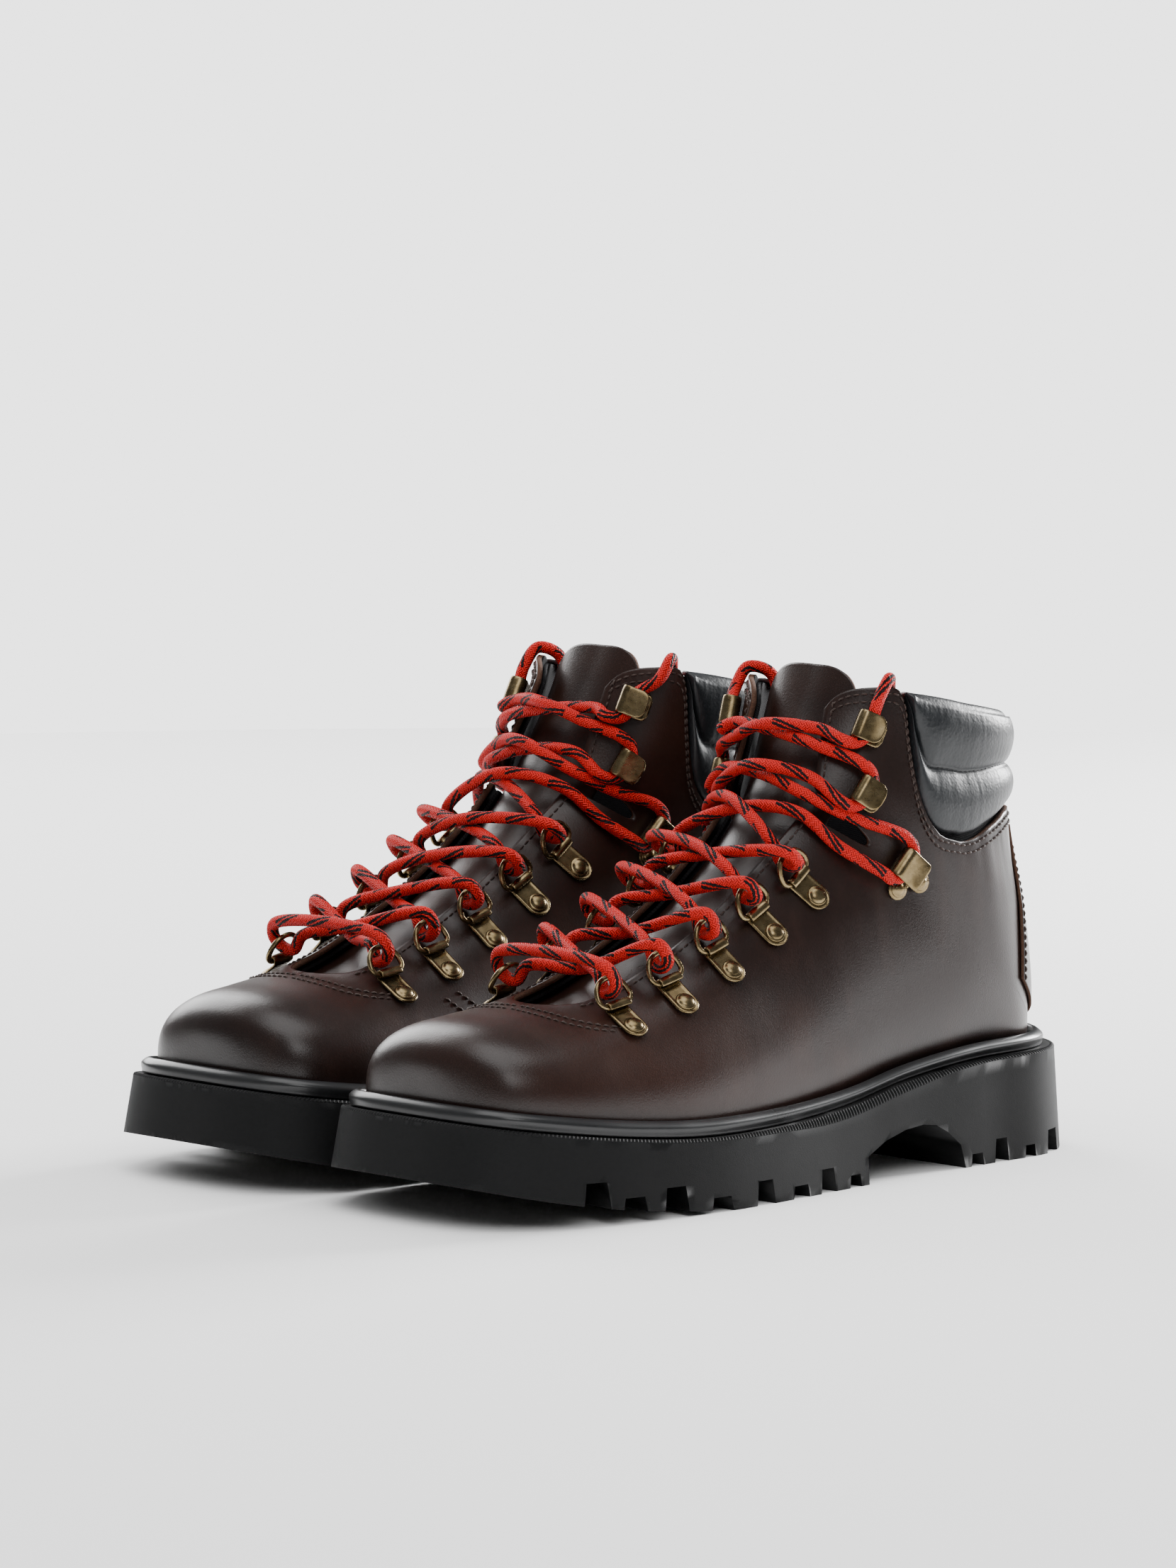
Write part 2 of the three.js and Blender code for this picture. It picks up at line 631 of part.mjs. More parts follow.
// Every hole that rivets need in the leather.
function rivetHoles() {
  const holes = [];
  [1, -1].forEach((side) => {
    D_ROW.forEach((_, k) => holes.push(shankHole(clipSeat(k, side), -RIVET_BACK, 0)));
    [0, 1].forEach((k) => holes.push(shankHole(hookSeat(k, side), HOOK_RIVET, 0)));
    LOCK_RIVETS.forEach(([u, w]) => holes.push(shankHole(lockSeat(side), u, w)));
  });
  return holes;
}

function upper() {
  let solid = solidOf(bootShell(UPPER_ROWS, UPPER_COLUMNS, leatherTop, 0, 0, -LEATHER));
  rivetHoles().forEach((hole) => {
    solid = solid.subtract(hole);
  });
  return geometryFrom(solid);
}

const LINING_OUT = -LEATHER - INTERLINING;

function lining() {
  return bootShell(LINING_ROWS, LINING_COLUMNS, liningTop, 0.012, LINING_OUT, LINING_OUT - LINING);
}

// A band round the back of the boot between two lines of v, out to a turn on each side.
function backBand(turns, lowV, highV, rowCount, out, inner) {
  const grids = [1, -1].map((side) => {
    const rows = [];
    for (let k = 0; k <= rowCount; k += 1) {
      const share = k / rowCount;
      rows.push(turns.map((turn) => {
        const v = lowV(turn, side) + (highV(turn) - lowV(turn, side)) * share;
        return shellNode(turn, v, side, out(share, turn), inner(share, turn));
      }));
    }
    return { rows, side };
  });
  return shell(grids);
}

// v at which the line of a turn meets the sole.
function soleV(turn, side, lift) {
  let low = 0.4;
  let high = 0.9;
  for (let k = 0; k < 30; k += 1) {
    const middle = (low + high) / 2;
    const p = lastPoint(turn, middle, side);
    if (p.z - soleTop(p.y) < lift) low = middle;
    else high = middle;
  }
  return high;
}

// Padded collar: from the leather's top edge to the collar line, bulging over both.
function collar() {
  const turns = UPPER_COLUMNS.filter((t) => t < 0.69).map((t) => t * facingTurn(0.86));
  const bulge = (share) => 0.2 + 2 * Math.sin(Math.PI * share) ** 0.6;
  return backBand(turns, (turn) => leatherTop(turn) + 0.014, collarTop, 4, bulge, () => -LEATHER - 1);
}

const BACKSTAY_LEATHER = 1.2;
const BACKSTAY_TOP = 0.862;
const BACKSTAY_GAP = 0.4;

// Heel piece over the back seam, on the same columns as the leather under it.
function backstay() {
  const foot = heelV(2 * WELT_BEAD + 1.2);
  const above = [0, 0.2, 0.45, 0.7, 1].map((share) => foot + (BACKSTAY_TOP - foot) * share);
  const columns = UPPER_COLUMNS.filter((t) => t < 0.4);
  const grids = [1, -1].map((side) => {
    const rows = above.map((v) => columns.map((t) => shellNode(t * facingTurn(v), v, side,
      BACKSTAY_GAP + BACKSTAY_LEATHER, BACKSTAY_GAP)));
    return { rows, side };
  });
  return shell(grids);
}

// Heel counter: a stiff cup between leather and lining, on the same rows as both.
function heelCounter() {
  const above = [0.35, 0.7, 1].map((share) => HEEL_V + (0.79 - HEEL_V) * share);
  const grids = [1, -1].map((side) => {
    const rows = [0.56, ...HEEL_ROWS, ...above].map((v) => {
      const low = featherTurn(v, side, v < HEEL_V ? 0.8 : 0);
      return COUNTER_COLUMNS.map((t) => shellNode(low + (facingTurn(v) - low) * t, v, side,
        -LEATHER - 0.5, -LEATHER - 1.1));
    });
    return { rows, side };
  });
  return shell(grids);
}

// Tongue: a padded strap from under the vamp to above the flaps.
function tongue() {
  const vs = [0.235, 0.28, 0.34, 0.42, 0.5, 0.58, 0.66, 0.76, 0.86, 0.94, 1];
  const spread = curve([[0.235, 0.1], [0.3, 0.17], [0.42, 0.21], [0.6, 0.215], [0.8, 0.21], [1, 0.2]]);
  const depth = curve([[0.235, 0.6], [0.6, 1], [0.7, 2.1], [0.86, 3.4], [1, 4.4]]);
  const shares = [0, 0.35, 0.7, 1];
  const grids = [1, -1].map((side) => {
    const rows = vs.map((v) => shares.map((share) => {
      const lowered = v > 0.8 ? v - 0.075 * ((v - 0.8) / 0.2) * share ** 3 : v;
      const out = LINING_OUT - LINING - 1.1 - depth(v) * (1 - 0.35 * share);
      return shellNode(1 - spread(v) * share, lowered, side, out, out - TONGUE_THICKNESS);
    }));
    return { rows, side: -side };
  });
  return shell(grids);
}

// ---- sole, welt, insole ----

const FEATHER_ROWS = [0, 0.012, 0.03, 0.055, 0.09, 0.14, 0.2, 0.26, 0.32, 0.38, 0.44, 0.5, 0.56, ...HEEL_ROWS];

// The line of the last a lift above the sole, moved outwards in plan by a distance.
function featherLoop(distance, height, lift = 0) {
  const stretch = heelV(lift) / HEEL_V;
  const run = (side) => FEATHER_ROWS.map((v) => lastPoint(featherTurn(v * stretch, side, lift), v * stretch, side));
  const lateral = run(1);
  const medial = run(-1);
  const round = [...lateral, ...medial.slice(1, -1).reverse()];
  const size = round.length;
  const moved = round.map((p, i) => {
    const a = round[(i + size - 1) % size];
    const b = round[(i + 1) % size];
    const ahead = new THREE.Vector2(b.x - a.x, b.y - a.y).normalize();
    const out = new THREE.Vector2(-ahead.y, ahead.x);
    const reach = typeof distance === 'function' ? distance(p, out) : distance;
    const q = new THREE.Vector3(p.x + out.x * reach, p.y + out.y * reach, 0);
    q.z = height(q.y);
    return q;
  });
  const count = lateral.length;
  return { lateral: moved.slice(0, count), medial: [moved[0], ...moved.slice(count).reverse(), moved[count - 1]] };
}

// How far the sole stands out beyond the feather, at its top edge and at its tread.
const edgeLedge = (p, out) => SOLE_LEDGE + 1.8 * Math.max(0, -out.y);
const treadLedge = (p, out) => edgeLedge(p, out) + 1.5 + 2.6 * Math.max(0, out.y) + 1 * Math.max(0, -out.y);

// The row's middle: half way between the treads' heel ends and toe ends.
const treadEnds = featherLoop(treadLedge, () => 0).lateral.map((p) => p.y);
const CENTRE = (Math.min(...treadEnds) + Math.max(...treadEnds)) / 2;

const CHAMFER = curve([[0, 1], [60, 1.2], [100, 3], [140, 3.2], [170, 1.6], [220, 1], [310, 1]]);

// Tread notches along each edge: distance forward, width, and whether cut deep.
const NOTCHES = [[18, 9, 1], [33.5, 6, 0], [47, 7, 1], [60.5, 7, 0], [130.3, 6.5, 0], [145, 8, 1], [160.5, 9, 0],
  [180, 9, 1], [201.5, 10, 0], [222.5, 10, 1], [243, 10, 0], [258, 10, 1]];
const NOTCH_HEIGHT = { 0: 4.5, 1: 8.5 };
const ARCH = [[122, -1], [122, 10], [91, 18], [71, 8.6], [68.5, 0], [68.5, -1]];

function notchCut(tread, [f, width, deep], side) {
  const run = side > 0 ? tread.lateral : tread.medial;
  const at = f * LENGTH_SCALE;
  let i = 0;
  while (i < run.length - 2 && run[i + 1].y > at) i += 1;
  const t = (run[i].y - at) / (run[i].y - run[i + 1].y);
  const p = run[i].clone().lerp(run[i + 1], t);
  const ahead = run[i + 1].clone().sub(run[i]).setZ(0).normalize();
  const height = NOTCH_HEIGHT[deep];
  const box = new THREE.BoxGeometry(width, 2 * CUT_DEPTH, height + 6);
  box.rotateZ(Math.atan2(ahead.y, ahead.x));
  box.translate(p.x, p.y, p.z + (height - 6) / 2);
  const cut = box.attributes.position;
  for (let k = 0; k < cut.count; k += 1) {
    const q = toWorld(new THREE.Vector3().fromBufferAttribute(cut, k));
    cut.setXYZ(k, q.x, q.y, q.z);
  }
  return solidOf(box);
}

function archCut() {
  const profile = new THREE.Shape(ARCH.map(([f, z]) => new THREE.Vector2(CENTRE - f * LENGTH_SCALE, z)));
  const prism = new THREE.ExtrudeGeometry(profile, { depth: 160, bevelEnabled: false });
  prism.applyMatrix4(new THREE.Matrix4().makeBasis(new THREE.Vector3(0, 1, 0), new THREE.Vector3(0, 0, 1),
    new THREE.Vector3(1, 0, 0)));
  prism.translate(BOOT_SPACING / 2 - 80, 0, 0);
  return solidOf(prism);
}

const SHANK_ENDS = [78, 165];

// A curved strip that follows the sole's top, between two depths below it.
function soleStrip(half, ends, upperDepth, lowerDepth) {
  const steps = 5;
  const rows = [];
  for (let k = 0; k <= steps; k += 1) {
    const f = ends[0] + (ends[1] - ends[0]) * (k / steps);
    const z = soleTop(f);
    rows.push([-half, half].map((x) => ({ p: new THREE.Vector3(x - 1, f, z), n: new THREE.Vector3(0, 0, 1),
      out: -upperDepth, in: -lowerDepth })));
  }
  return shell([{ rows, side: 1 }]);
}

const shankEnds = () => SHANK_ENDS.map((f) => f * LENGTH_SCALE);

function shankPlate() {
  return soleStrip(SHANK_WIDTH / 2, shankEnds(), 1.4 * GAP, 1.4 * GAP + SHANK_THICKNESS);
}

function outsole() {
  const tread = featherLoop(treadLedge, treadRise);
  const edge = featherLoop(edgeLedge, (f) => soleTop(f) - CHAMFER(f / LENGTH_SCALE));
  const brow = featherLoop((p, out) => edgeLedge(p, out) - 1.6, soleTop);
  let solid = solidOf(loft([tread, edge, brow])).subtract(archCut());
  NOTCHES.forEach((notch) => {
    solid = solid.subtract(notchCut(tread, notch, 1)).subtract(notchCut(tread, notch, -1));
  });
  const [rear, front] = shankEnds();
  const groove = soleStrip(SHANK_WIDTH / 2 + GAP, [rear - GAP, front + GAP], -2, SHANK_THICKNESS + 2.4 * GAP);
  return geometryFrom(solid.subtract(solidOf(groove)));
}

// Storm welt: a rounded bead round the feather line, on the sole's top. Its section is a
// list of [out, up, lift]: the last's line at the lift, moved out, at a height over the sole.
const WELT_SECTION = [[0.4, 0, 0], [0.5, 1.5, 1.5], [1, 2, 2], [1.9, 1.3, 2], [2.1, 0.4, 0], [1.9, 0, 0]];

function welt() {
  const loops = WELT_SECTION.map(([out, up, lift]) => {
    const high = (f) => soleTop(f) + GAP + 0.1 + up * WELT_BEAD;
    const { lateral, medial } = featherLoop(GAP + out * WELT_BEAD, high, lift * WELT_BEAD);
    return [...lateral, ...medial.slice(1, -1).reverse()];
  });
  const size = loops[0].length;
  const sides = loops.length;
  const faces = [];
  for (let i = 0; i < size; i += 1) {
    for (let k = 0; k < sides; k += 1) {
      const a = i * sides + k;
      const b = i * sides + ((k + 1) % sides);
      const c = ((i + 1) % size) * sides + k;
      const d = ((i + 1) % size) * sides + ((k + 1) % sides);
      faces.push(a, c, d, a, d, b);
    }
  }
  const points = loops[0].flatMap((_, i) => loops.map((loop) => toWorld(loop[i])));
  return geometryOf(points, faces);
}

const INNER_EDGE = LEATHER + INTERLINING + LINING + 0.6;

function insoleBoard() {
  return loft([featherLoop(-INNER_EDGE, (f) => soleTop(f) + GAP),
    featherLoop(-INNER_EDGE, (f) => soleTop(f) + GAP + BOARD)]);
}

function footbed() {
  const base = 2 * GAP + BOARD;
  return loft([featherLoop(-INNER_EDGE - 0.4, (f) => soleTop(f) + base),
    featherLoop(-INNER_EDGE - 0.4, (f) => soleTop(f) + base + FOOTBED)]);
}

// ---- the lace ----
// Its route is a list of stops, each a few points in the frame of a piece of metal, joined
// over the tongue. Stops at a D-ring wrap the bow; stops at a hook run behind its tab.

// Around a bow, as [along the ring past its crown, square to the ring, along the facing].
const RING_WRAP = [[2.4, 5.2, -1.6], [-3.4, 5, -0.5], [-5.3, 0, 0], [-3.6, -4.6, 0.5], [2.8, -5.6, 2.2]];
// Behind a tab, as [towards the throat, outwards, along the facing].
const HOOK_WRAP = [[8.5, 5.8, -8], [3.6, 4.7, -7.1], [0.6, 4.5, -3.2], [0.6, 4.5, 3.2], [3.6, 4.5, 7.1], [8.5, 4.4, 8]];

function ringStop(k, side) {
  const s = clipSeat(k, side);
  const { along, square } = ringAxes(s);
  const crown = inSeat(s, 0, BARREL_HEIGHT, 0).addScaledVector(along, D_REACH);
  return RING_WRAP.map(([a, q, w]) => crown.clone().addScaledVector(along, a).addScaledVector(square, q)
    .addScaledVector(s.w, w));
}

const hookStop = (s) => HOOK_WRAP.map(([u, n, w]) => inSeat(s, u, n, w));

// A point off the leather where a strand lies on it, and a point over the tongue.
const onLeather = (turn, v, side, lift) => toWorld(offLast(turn, v, side, lift));
const overTongue = (v, lift) => toWorld(offLast(1, v, 1, lift));
const OVER = 7.4;              // the upper of two crossing strands, above the last
const UNDER = 3.1;
const SHAFT_OVER = 6.2;
const SHAFT_UNDER = 0.6;
const STRAND_LIFT = LACE + 0.9;

// Free end, from the top hook: over the flap, down inside the shaft and along the footbed.
const TAIL = [[0.735, 0.92, 4.2], [0.715, 0.972, 1], [0.695, 0.965, -7], [0.66, 0.9, -11], [0.63, 0.82, -11],
  [0.6, 0.74, -11.5], [0.56, 0.65, -12]];
const TAIL_ON_BED = [[16, 96], [14, 126], [16, 158], [12, 190], [15, 222], [10, 246]];

function tail(side) {
  const inside = TAIL.map(([turn, v, off]) => toWorld(offLast(turn, v, side, off)));
  const bed = TAIL_ON_BED.map(([x, f]) => {
    const lift = 2 * GAP + BOARD + FOOTBED + 2.5 * GAP + LACE;
    const at = f * LENGTH_SCALE;
    return toWorld(new THREE.Vector3(side * x - 2, at, soleTop(at) + lift));
  });
  return [...inside, ...bed];
}

// From the first ring of one side up to its last hook, crossing over at each step.
function climb(side) {
  const points = [];
  let now = side;
  const lock = LOCK_PLACE[side][1];
  D_ROW.forEach(([, v], k) => {
    points.push(...ringStop(k, now));
    const next = k < D_ROW.length - 1 ? D_ROW[k + 1][1] : lock;
    const over = (k % 2 === 0) === (side > 0);
    points.push(overTongue((v + next) / 2, over ? OVER : UNDER));
    now = -now;
  });
  points.push(onLeather(0.86, 0.628, now, STRAND_LIFT + 0.6), onLeather(0.75, 0.618, now, STRAND_LIFT));
  points.push(...hookStop(lockSeat(now)), onLeather(0.76, 0.677, now, STRAND_LIFT));
  points.push(...shaftCrossing(0.668, 0.69, 0.706, now, side > 0));
  now = -now;
  points.push(...hookStop(hookSeat(0, now)), ...shaftCrossing(0.778, 0.797, 0.816, now, side < 0));
  now = -now;
  points.push(...hookStop(hookSeat(1, now)).slice(0, 4), ...tail(now));
  return points;
}

// Over one facing's edge, the tongue and the other facing's edge.
function shaftCrossing(from, middle, to, side, over) {
  return [onLeather(0.87, from, side, STRAND_LIFT), overTongue(middle, over ? SHAFT_OVER : SHAFT_UNDER),
    onLeather(0.87, to, -side, STRAND_LIFT)];
}

function laceRoute() {
  return [...climb(1).reverse(), ...climb(-1)];
}

// A curve that steps from one point of its list to the next, whatever their spacing.
class RouteCurve extends THREE.CatmullRomCurve3 {
  getUtoTmapping(u) {
    return u;
  }
}

const LACE_SIDES = 5;

function lace() {
  const route = laceRoute();
  const section = new THREE.Shape();
  for (let k = 0; k < LACE_SIDES; k += 1) {
    const angle = (k / LACE_SIDES) * 2 * Math.PI;
    const x = LACE * Math.cos(angle);
    const y = LACE * Math.sin(angle);
    if (k === 0) section.moveTo(x, y);
    else section.lineTo(x, y);
  }
  section.closePath();
  const path = new RouteCurve(route, false, 'centripetal');
  const tube = new THREE.ExtrudeGeometry(section, { steps: route.length - 1, extrudePath: path, bevelEnabled: false });
  return geometryFrom(solidOf(tube));
}

// ---- materials ----

const FINISHES = {
  brown_leather: [0x3a2218, 0.42, 0],
  black_leather: [0x15171a, 0.5, 0],
  lining_fabric: [0x1a1a1c, 0.85, 0],
  rubber: [0x141414, 0.75, 0],
  welt_rubber: [0x17181a, 0.35, 0],
  board: [0x8a6f4e, 0.9, 0],
  foam: [0x2a2a2c, 0.9, 0],
  steel: [0x9a9a9a, 0.4, 0.9],
  antique_brass: [0x8a7a55, 0.4, 0.9],
  lace_braid: [0xc01812, 0.8, 0],
};

function finish(name) {
  const [color, roughness, metalness] = FINISHES[name];
  return new THREE.MeshStandardMaterial({ name, color, roughness, metalness });
}

// ---- assembly ----

const SIDE_NAMES = [['lateral', 1], ['medial', -1]];

// Every piece of one boot, as [name, geometry, finish].
function bootPieces() {
  const pieces = [
    ['outsole', outsole(), 'rubber'],
    ['storm_welt', welt(), 'welt_rubber'],
    ['shank', shankPlate(), 'steel'],
    ['insole_board', insoleBoard(), 'board'],
    ['footbed', footbed(), 'foam'],
    ['upper', upper(), 'brown_leather'],
    ['backstay', backstay(), 'brown_leather'],
    ['heel_counter', heelCounter(), 'board'],
    ['lining', lining(), 'lining_fabric'],
    ['collar_pad', collar(), 'black_leather'],
    ['tongue', tongue(), 'brown_leather'],
    ['lace', lace(), 'lace_braid'],
  ];
  SIDE_NAMES.forEach(([name, side]) => {
    pieces.push([`${name}_ring_clips`, clipRow(side), 'antique_brass']);
    D_ROW.forEach((_, k) => pieces.push([`${name}_d_ring_${k + 1}`, dRing(k, side), 'antique_brass']));
    pieces.push([`${name}_lock_hook`, lockHook(side), 'antique_brass']);
    [0, 1].forEach((k) => pieces.push([`${name}_speed_hook_${k + 1}`, speedHook(k, side), 'antique_brass']));
  });
  return pieces;
}

// The other boot: the same piece seen in a mirror, with its faces turned to match.
function mirrored(geometry) {
  const copy = geometry.clone().scale(-1, 1, 1);
  copy.setIndex(Array.from(copy.index.array).reverse());
  return copy;
}

const boots = new THREE.Group();
bootPieces().forEach(([name, geometry, slot]) => {
  [['left', geometry], ['right', mirrored(geometry)]].forEach(([boot, shape]) => {
    const mesh = new THREE.Mesh(shape, finish(slot));
    mesh.name = `${boot}_${name}`;
    boots.add(mesh);
  });
});

export default boots;
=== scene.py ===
# %% [markdown]
# # A pair of laced leather hiking boots
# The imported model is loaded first, as a fixed frame. Every piece below is put around it, in
# the same frame: metres, +Z up, toes towards -Y, the left boot at +X.

# %% Load the frame
import math

import bmesh
import bpy
import numpy as np
from mathutils import Matrix, Vector


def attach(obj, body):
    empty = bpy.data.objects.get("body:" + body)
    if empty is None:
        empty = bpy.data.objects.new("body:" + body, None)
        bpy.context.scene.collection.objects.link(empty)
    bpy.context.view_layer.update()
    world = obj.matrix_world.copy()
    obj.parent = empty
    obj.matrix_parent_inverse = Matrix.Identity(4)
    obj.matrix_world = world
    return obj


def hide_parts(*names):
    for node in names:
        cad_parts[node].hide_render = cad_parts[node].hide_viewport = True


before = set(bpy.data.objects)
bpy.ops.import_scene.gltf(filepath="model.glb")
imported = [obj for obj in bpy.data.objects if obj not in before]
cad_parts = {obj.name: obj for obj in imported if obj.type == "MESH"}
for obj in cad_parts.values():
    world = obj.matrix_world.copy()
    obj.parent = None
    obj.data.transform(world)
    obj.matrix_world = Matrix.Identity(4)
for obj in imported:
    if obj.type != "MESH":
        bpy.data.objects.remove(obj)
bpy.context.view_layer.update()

# %% [markdown]
# ## Camera, floor and light
# A long lens from a low three-quarter angle looks along both boots from the little-toe side
# of the left one. The floor is pale and wide, and the light comes from large soft panels,
# because waxed leather and metal show their form mostly by what they reflect.

# %% Camera
AZIMUTH, PITCH = math.radians(47.07), math.radians(5.83)
DISTANCE = 2.794
ASIDE, AIM_HEIGHT, AIM_Y = -0.0022, 0.1364, -0.00489
SENSOR, FOCAL_SHARE = 36.0, 10970 / 1659

back = np.array([math.sin(AZIMUTH) * math.cos(PITCH), -math.cos(AZIMUTH) * math.cos(PITCH), math.sin(PITCH)])
right = np.array([math.cos(AZIMUTH), math.sin(AZIMUTH), 0.0])
up = np.cross(back, right)
aim = right * ASIDE + np.array([0, AIM_Y, AIM_HEIGHT])
camera_data = bpy.data.cameras.new("camera")
camera_data.sensor_fit = "HORIZONTAL"
camera_data.sensor_width = SENSOR
camera_data.lens = SENSOR * FOCAL_SHARE
camera_data.clip_end = 20
camera = bpy.data.objects.new("camera", camera_data)
bpy.context.scene.collection.objects.link(camera)
turned = np.eye(4)
turned[:3, 0], turned[:3, 1], turned[:3, 2], turned[:3, 3] = right, up, back, aim + back * DISTANCE
camera.matrix_world = Matrix(turned.tolist())
bpy.context.scene.camera = camera
print("lens:", round(camera_data.lens, 1), "mm")

# %% Floor and lights
world = bpy.data.worlds.new("studio")
bpy.context.scene.world = world
world.use_nodes = True
sky = world.node_tree
bright, dim = sky.nodes["Background"], sky.nodes.new("ShaderNodeBackground")
bright.inputs["Color"].default_value = dim.inputs["Color"].default_value = (1, 1, 1, 1)
bright.inputs["Strength"].default_value, dim.inputs["Strength"].default_value = 3.0, 0.16
seen, choose = sky.nodes.new("ShaderNodeLightPath"), sky.nodes.new("ShaderNodeMixShader")
sky.links.new(seen.outputs["Is Camera Ray"], choose.inputs[0])
sky.links.new(dim.outputs[0], choose.inputs[1])
sky.links.new(bright.outputs[0], choose.inputs[2])
sky.links.new(choose.outputs[0], sky.nodes["World Output"].inputs["Surface"])


def area_light(name, place, target, size, power):
    """A square panel of light at a place, turned to face a target."""
    data = bpy.data.lights.new(name, "AREA")
    data.shape, data.size, data.energy = "SQUARE", size, power
    light = bpy.data.objects.new(name, data)
    bpy.context.scene.collection.objects.link(light)
    away = np.array(place, float) - np.array(target, float)
    light.location = place
    light.rotation_euler = Vector(away).to_track_quat("Z", "Y").to_euler()
    return light


area_light("panel_over", (0.1, -0.3, 2.1), (0, 0, 0.1), 1.8, 26)
area_light("panel_heel", (0.1, 2.05, 0.75), (0.05, 0.0, 0.1), 0.8, 120)
area_light("panel_toe", (-1.8, 0.35, 0.95), (0, -0.1, 0.08), 1.2, 34)
area_light("panel_front", (1.9, -1.2, 1.9), (0, 0, 0.1), 1.2, 16)
sun_data = bpy.data.lights.new("open_sky", "SUN")
sun_data.energy, sun_data.angle = 2.6, math.radians(120)
sun = bpy.data.objects.new("open_sky", sun_data)
bpy.context.scene.collection.objects.link(sun)
sun.visible_glossy = False  # lights the floor without a grey veil on leather and rubber
floor_mesh = bpy.data.meshes.new("floor")
rim = np.linspace(0, 2 * np.pi, 96, endpoint=False)
disc = np.column_stack([1.65 * np.cos(rim), 1.65 * np.sin(rim), 0 * rim])
floor_mesh.from_pydata(disc.tolist(), [], [list(range(96))])
floor = bpy.data.objects.new("floor", floor_mesh)
bpy.context.scene.collection.objects.link(floor)

# %% [markdown]
# ## Shader helpers
# A material is a graph of nodes, and its sums are easier to read as Python. `Wire` wraps a
# socket: adding or multiplying two wires adds a Math node. `Finish` makes one material and
# adds any other node by its type.


# %% Shader helpers
class Wire:
    """A value socket that can be used in sums."""

    def __init__(self, finish, socket):
        self.finish, self.socket = finish, socket

    def _math(self, operation, *values):
        return self.finish.node("ShaderNodeMath", {"operation": operation}, dict(enumerate(values)))[0]

    def __add__(self, other):
        return self._math("ADD", self, other)

    __radd__ = __add__

    def __mul__(self, other):
        return self._math("MULTIPLY", self, other)

    __rmul__ = __mul__

    def __sub__(self, other):
        return self._math("SUBTRACT", self, other)

    def __rsub__(self, other):
        return self._math("SUBTRACT", other, self)

    def __lt__(self, other):
        return self._math("LESS_THAN", self, other)

    def __gt__(self, other):
        return self._math("GREATER_THAN", self, other)

    def wave(self):
        """Absolute sine of pi times the value: 0 at whole numbers and 1 half way."""
        return self._math("ABSOLUTE", self._math("SINE", self * math.pi))

    def floor(self):
        return self._math("FLOOR", self)

    def modulo(self, size):
        return self._math("FLOORED_MODULO", self, size)

    def clamp(self):
        return self._math("MAXIMUM", self._math("MINIMUM", self, 1.0), 0.0)

    def power(self, exponent):
        return self._math("POWER", self, exponent)


class Finish:
    """One material: a Principled shader and the nodes that feed it."""

    def __init__(self, name, **constants):
        self.material = bpy.data.materials.new(name)
        self.material.use_nodes = True
        self.tree = self.material.node_tree
        self.shader = self.tree.nodes["Principled BSDF"]
        for socket, value in constants.items():
            self.shader.inputs[socket.replace("_", " ")].default_value = value

    def node(self, kind, settings=None, inputs=None):
        """Adds a node, and returns its outputs as wires."""
        made = self.tree.nodes.new(kind)
        for key, value in (settings or {}).items():
            if key == "ramp":
                for stop, (place, colour) in zip(self._stops(made, len(value)), value):
                    stop.position, stop.color = place, (*colour, 1)
            else:
                setattr(made, key, value)
        for key, value in (inputs or {}).items():
            if isinstance(value, Wire):
                self.tree.links.new(value.socket, made.inputs[key])
            else:
                made.inputs[key].default_value = value
        return [Wire(self, s) for s in made.outputs if s.enabled]

    @staticmethod
    def _stops(made, count):
        stops = made.color_ramp.elements
        while len(stops) < count:
            stops.new(0.5)
        return stops

    def noise(self, scale, detail=3.0, stretch=(1, 1, 1)):
        """Cloudy noise of a scale, per metre, in the object's own coordinates."""
        place = self.node("ShaderNodeTexCoord")[3]
        if stretch != (1, 1, 1):
            place = self.node("ShaderNodeMapping", {}, {0: place, 3: stretch})[0]
        return self.node("ShaderNodeTexNoise", {}, {"Vector": place, "Scale": scale, "Detail": detail})[0]

    def attribute(self, name):
        return self.node("ShaderNodeAttribute", {"attribute_name": name})[2]

    def mix(self, factor, one, other):
        """A colour between two, or between a colour and a wire."""
        colours = {
            6: one if isinstance(one, Wire) else (*one, 1),
            7: other if isinstance(other, Wire) else (*other, 1),
        }
        made = self.tree.nodes.new("ShaderNodeMix")
        made.data_type = "RGBA"
        for key, value in {0: factor, **colours}.items():
            if isinstance(value, Wire):
                self.tree.links.new(value.socket, made.inputs[key])
            else:
                made.inputs[key].default_value = value
        return Wire(self, made.outputs[2])

    def feed(self, **wires):
        for socket, wire in wires.items():
            self.tree.links.new(wire.socket, self.shader.inputs[socket.replace("_", " ")])
        return self.material

    def bump(self, height, strength, distance):
        sockets = {"Height": height, "Strength": strength, "Distance": distance}
        return self.node("ShaderNodeBump", {}, sockets)[0]


paper = Finish("floor_paper", Base_Color=(0.9, 0.9, 0.9, 1), Roughness=0.9).material
floor.data.materials.append(paper)
print("helpers ready")
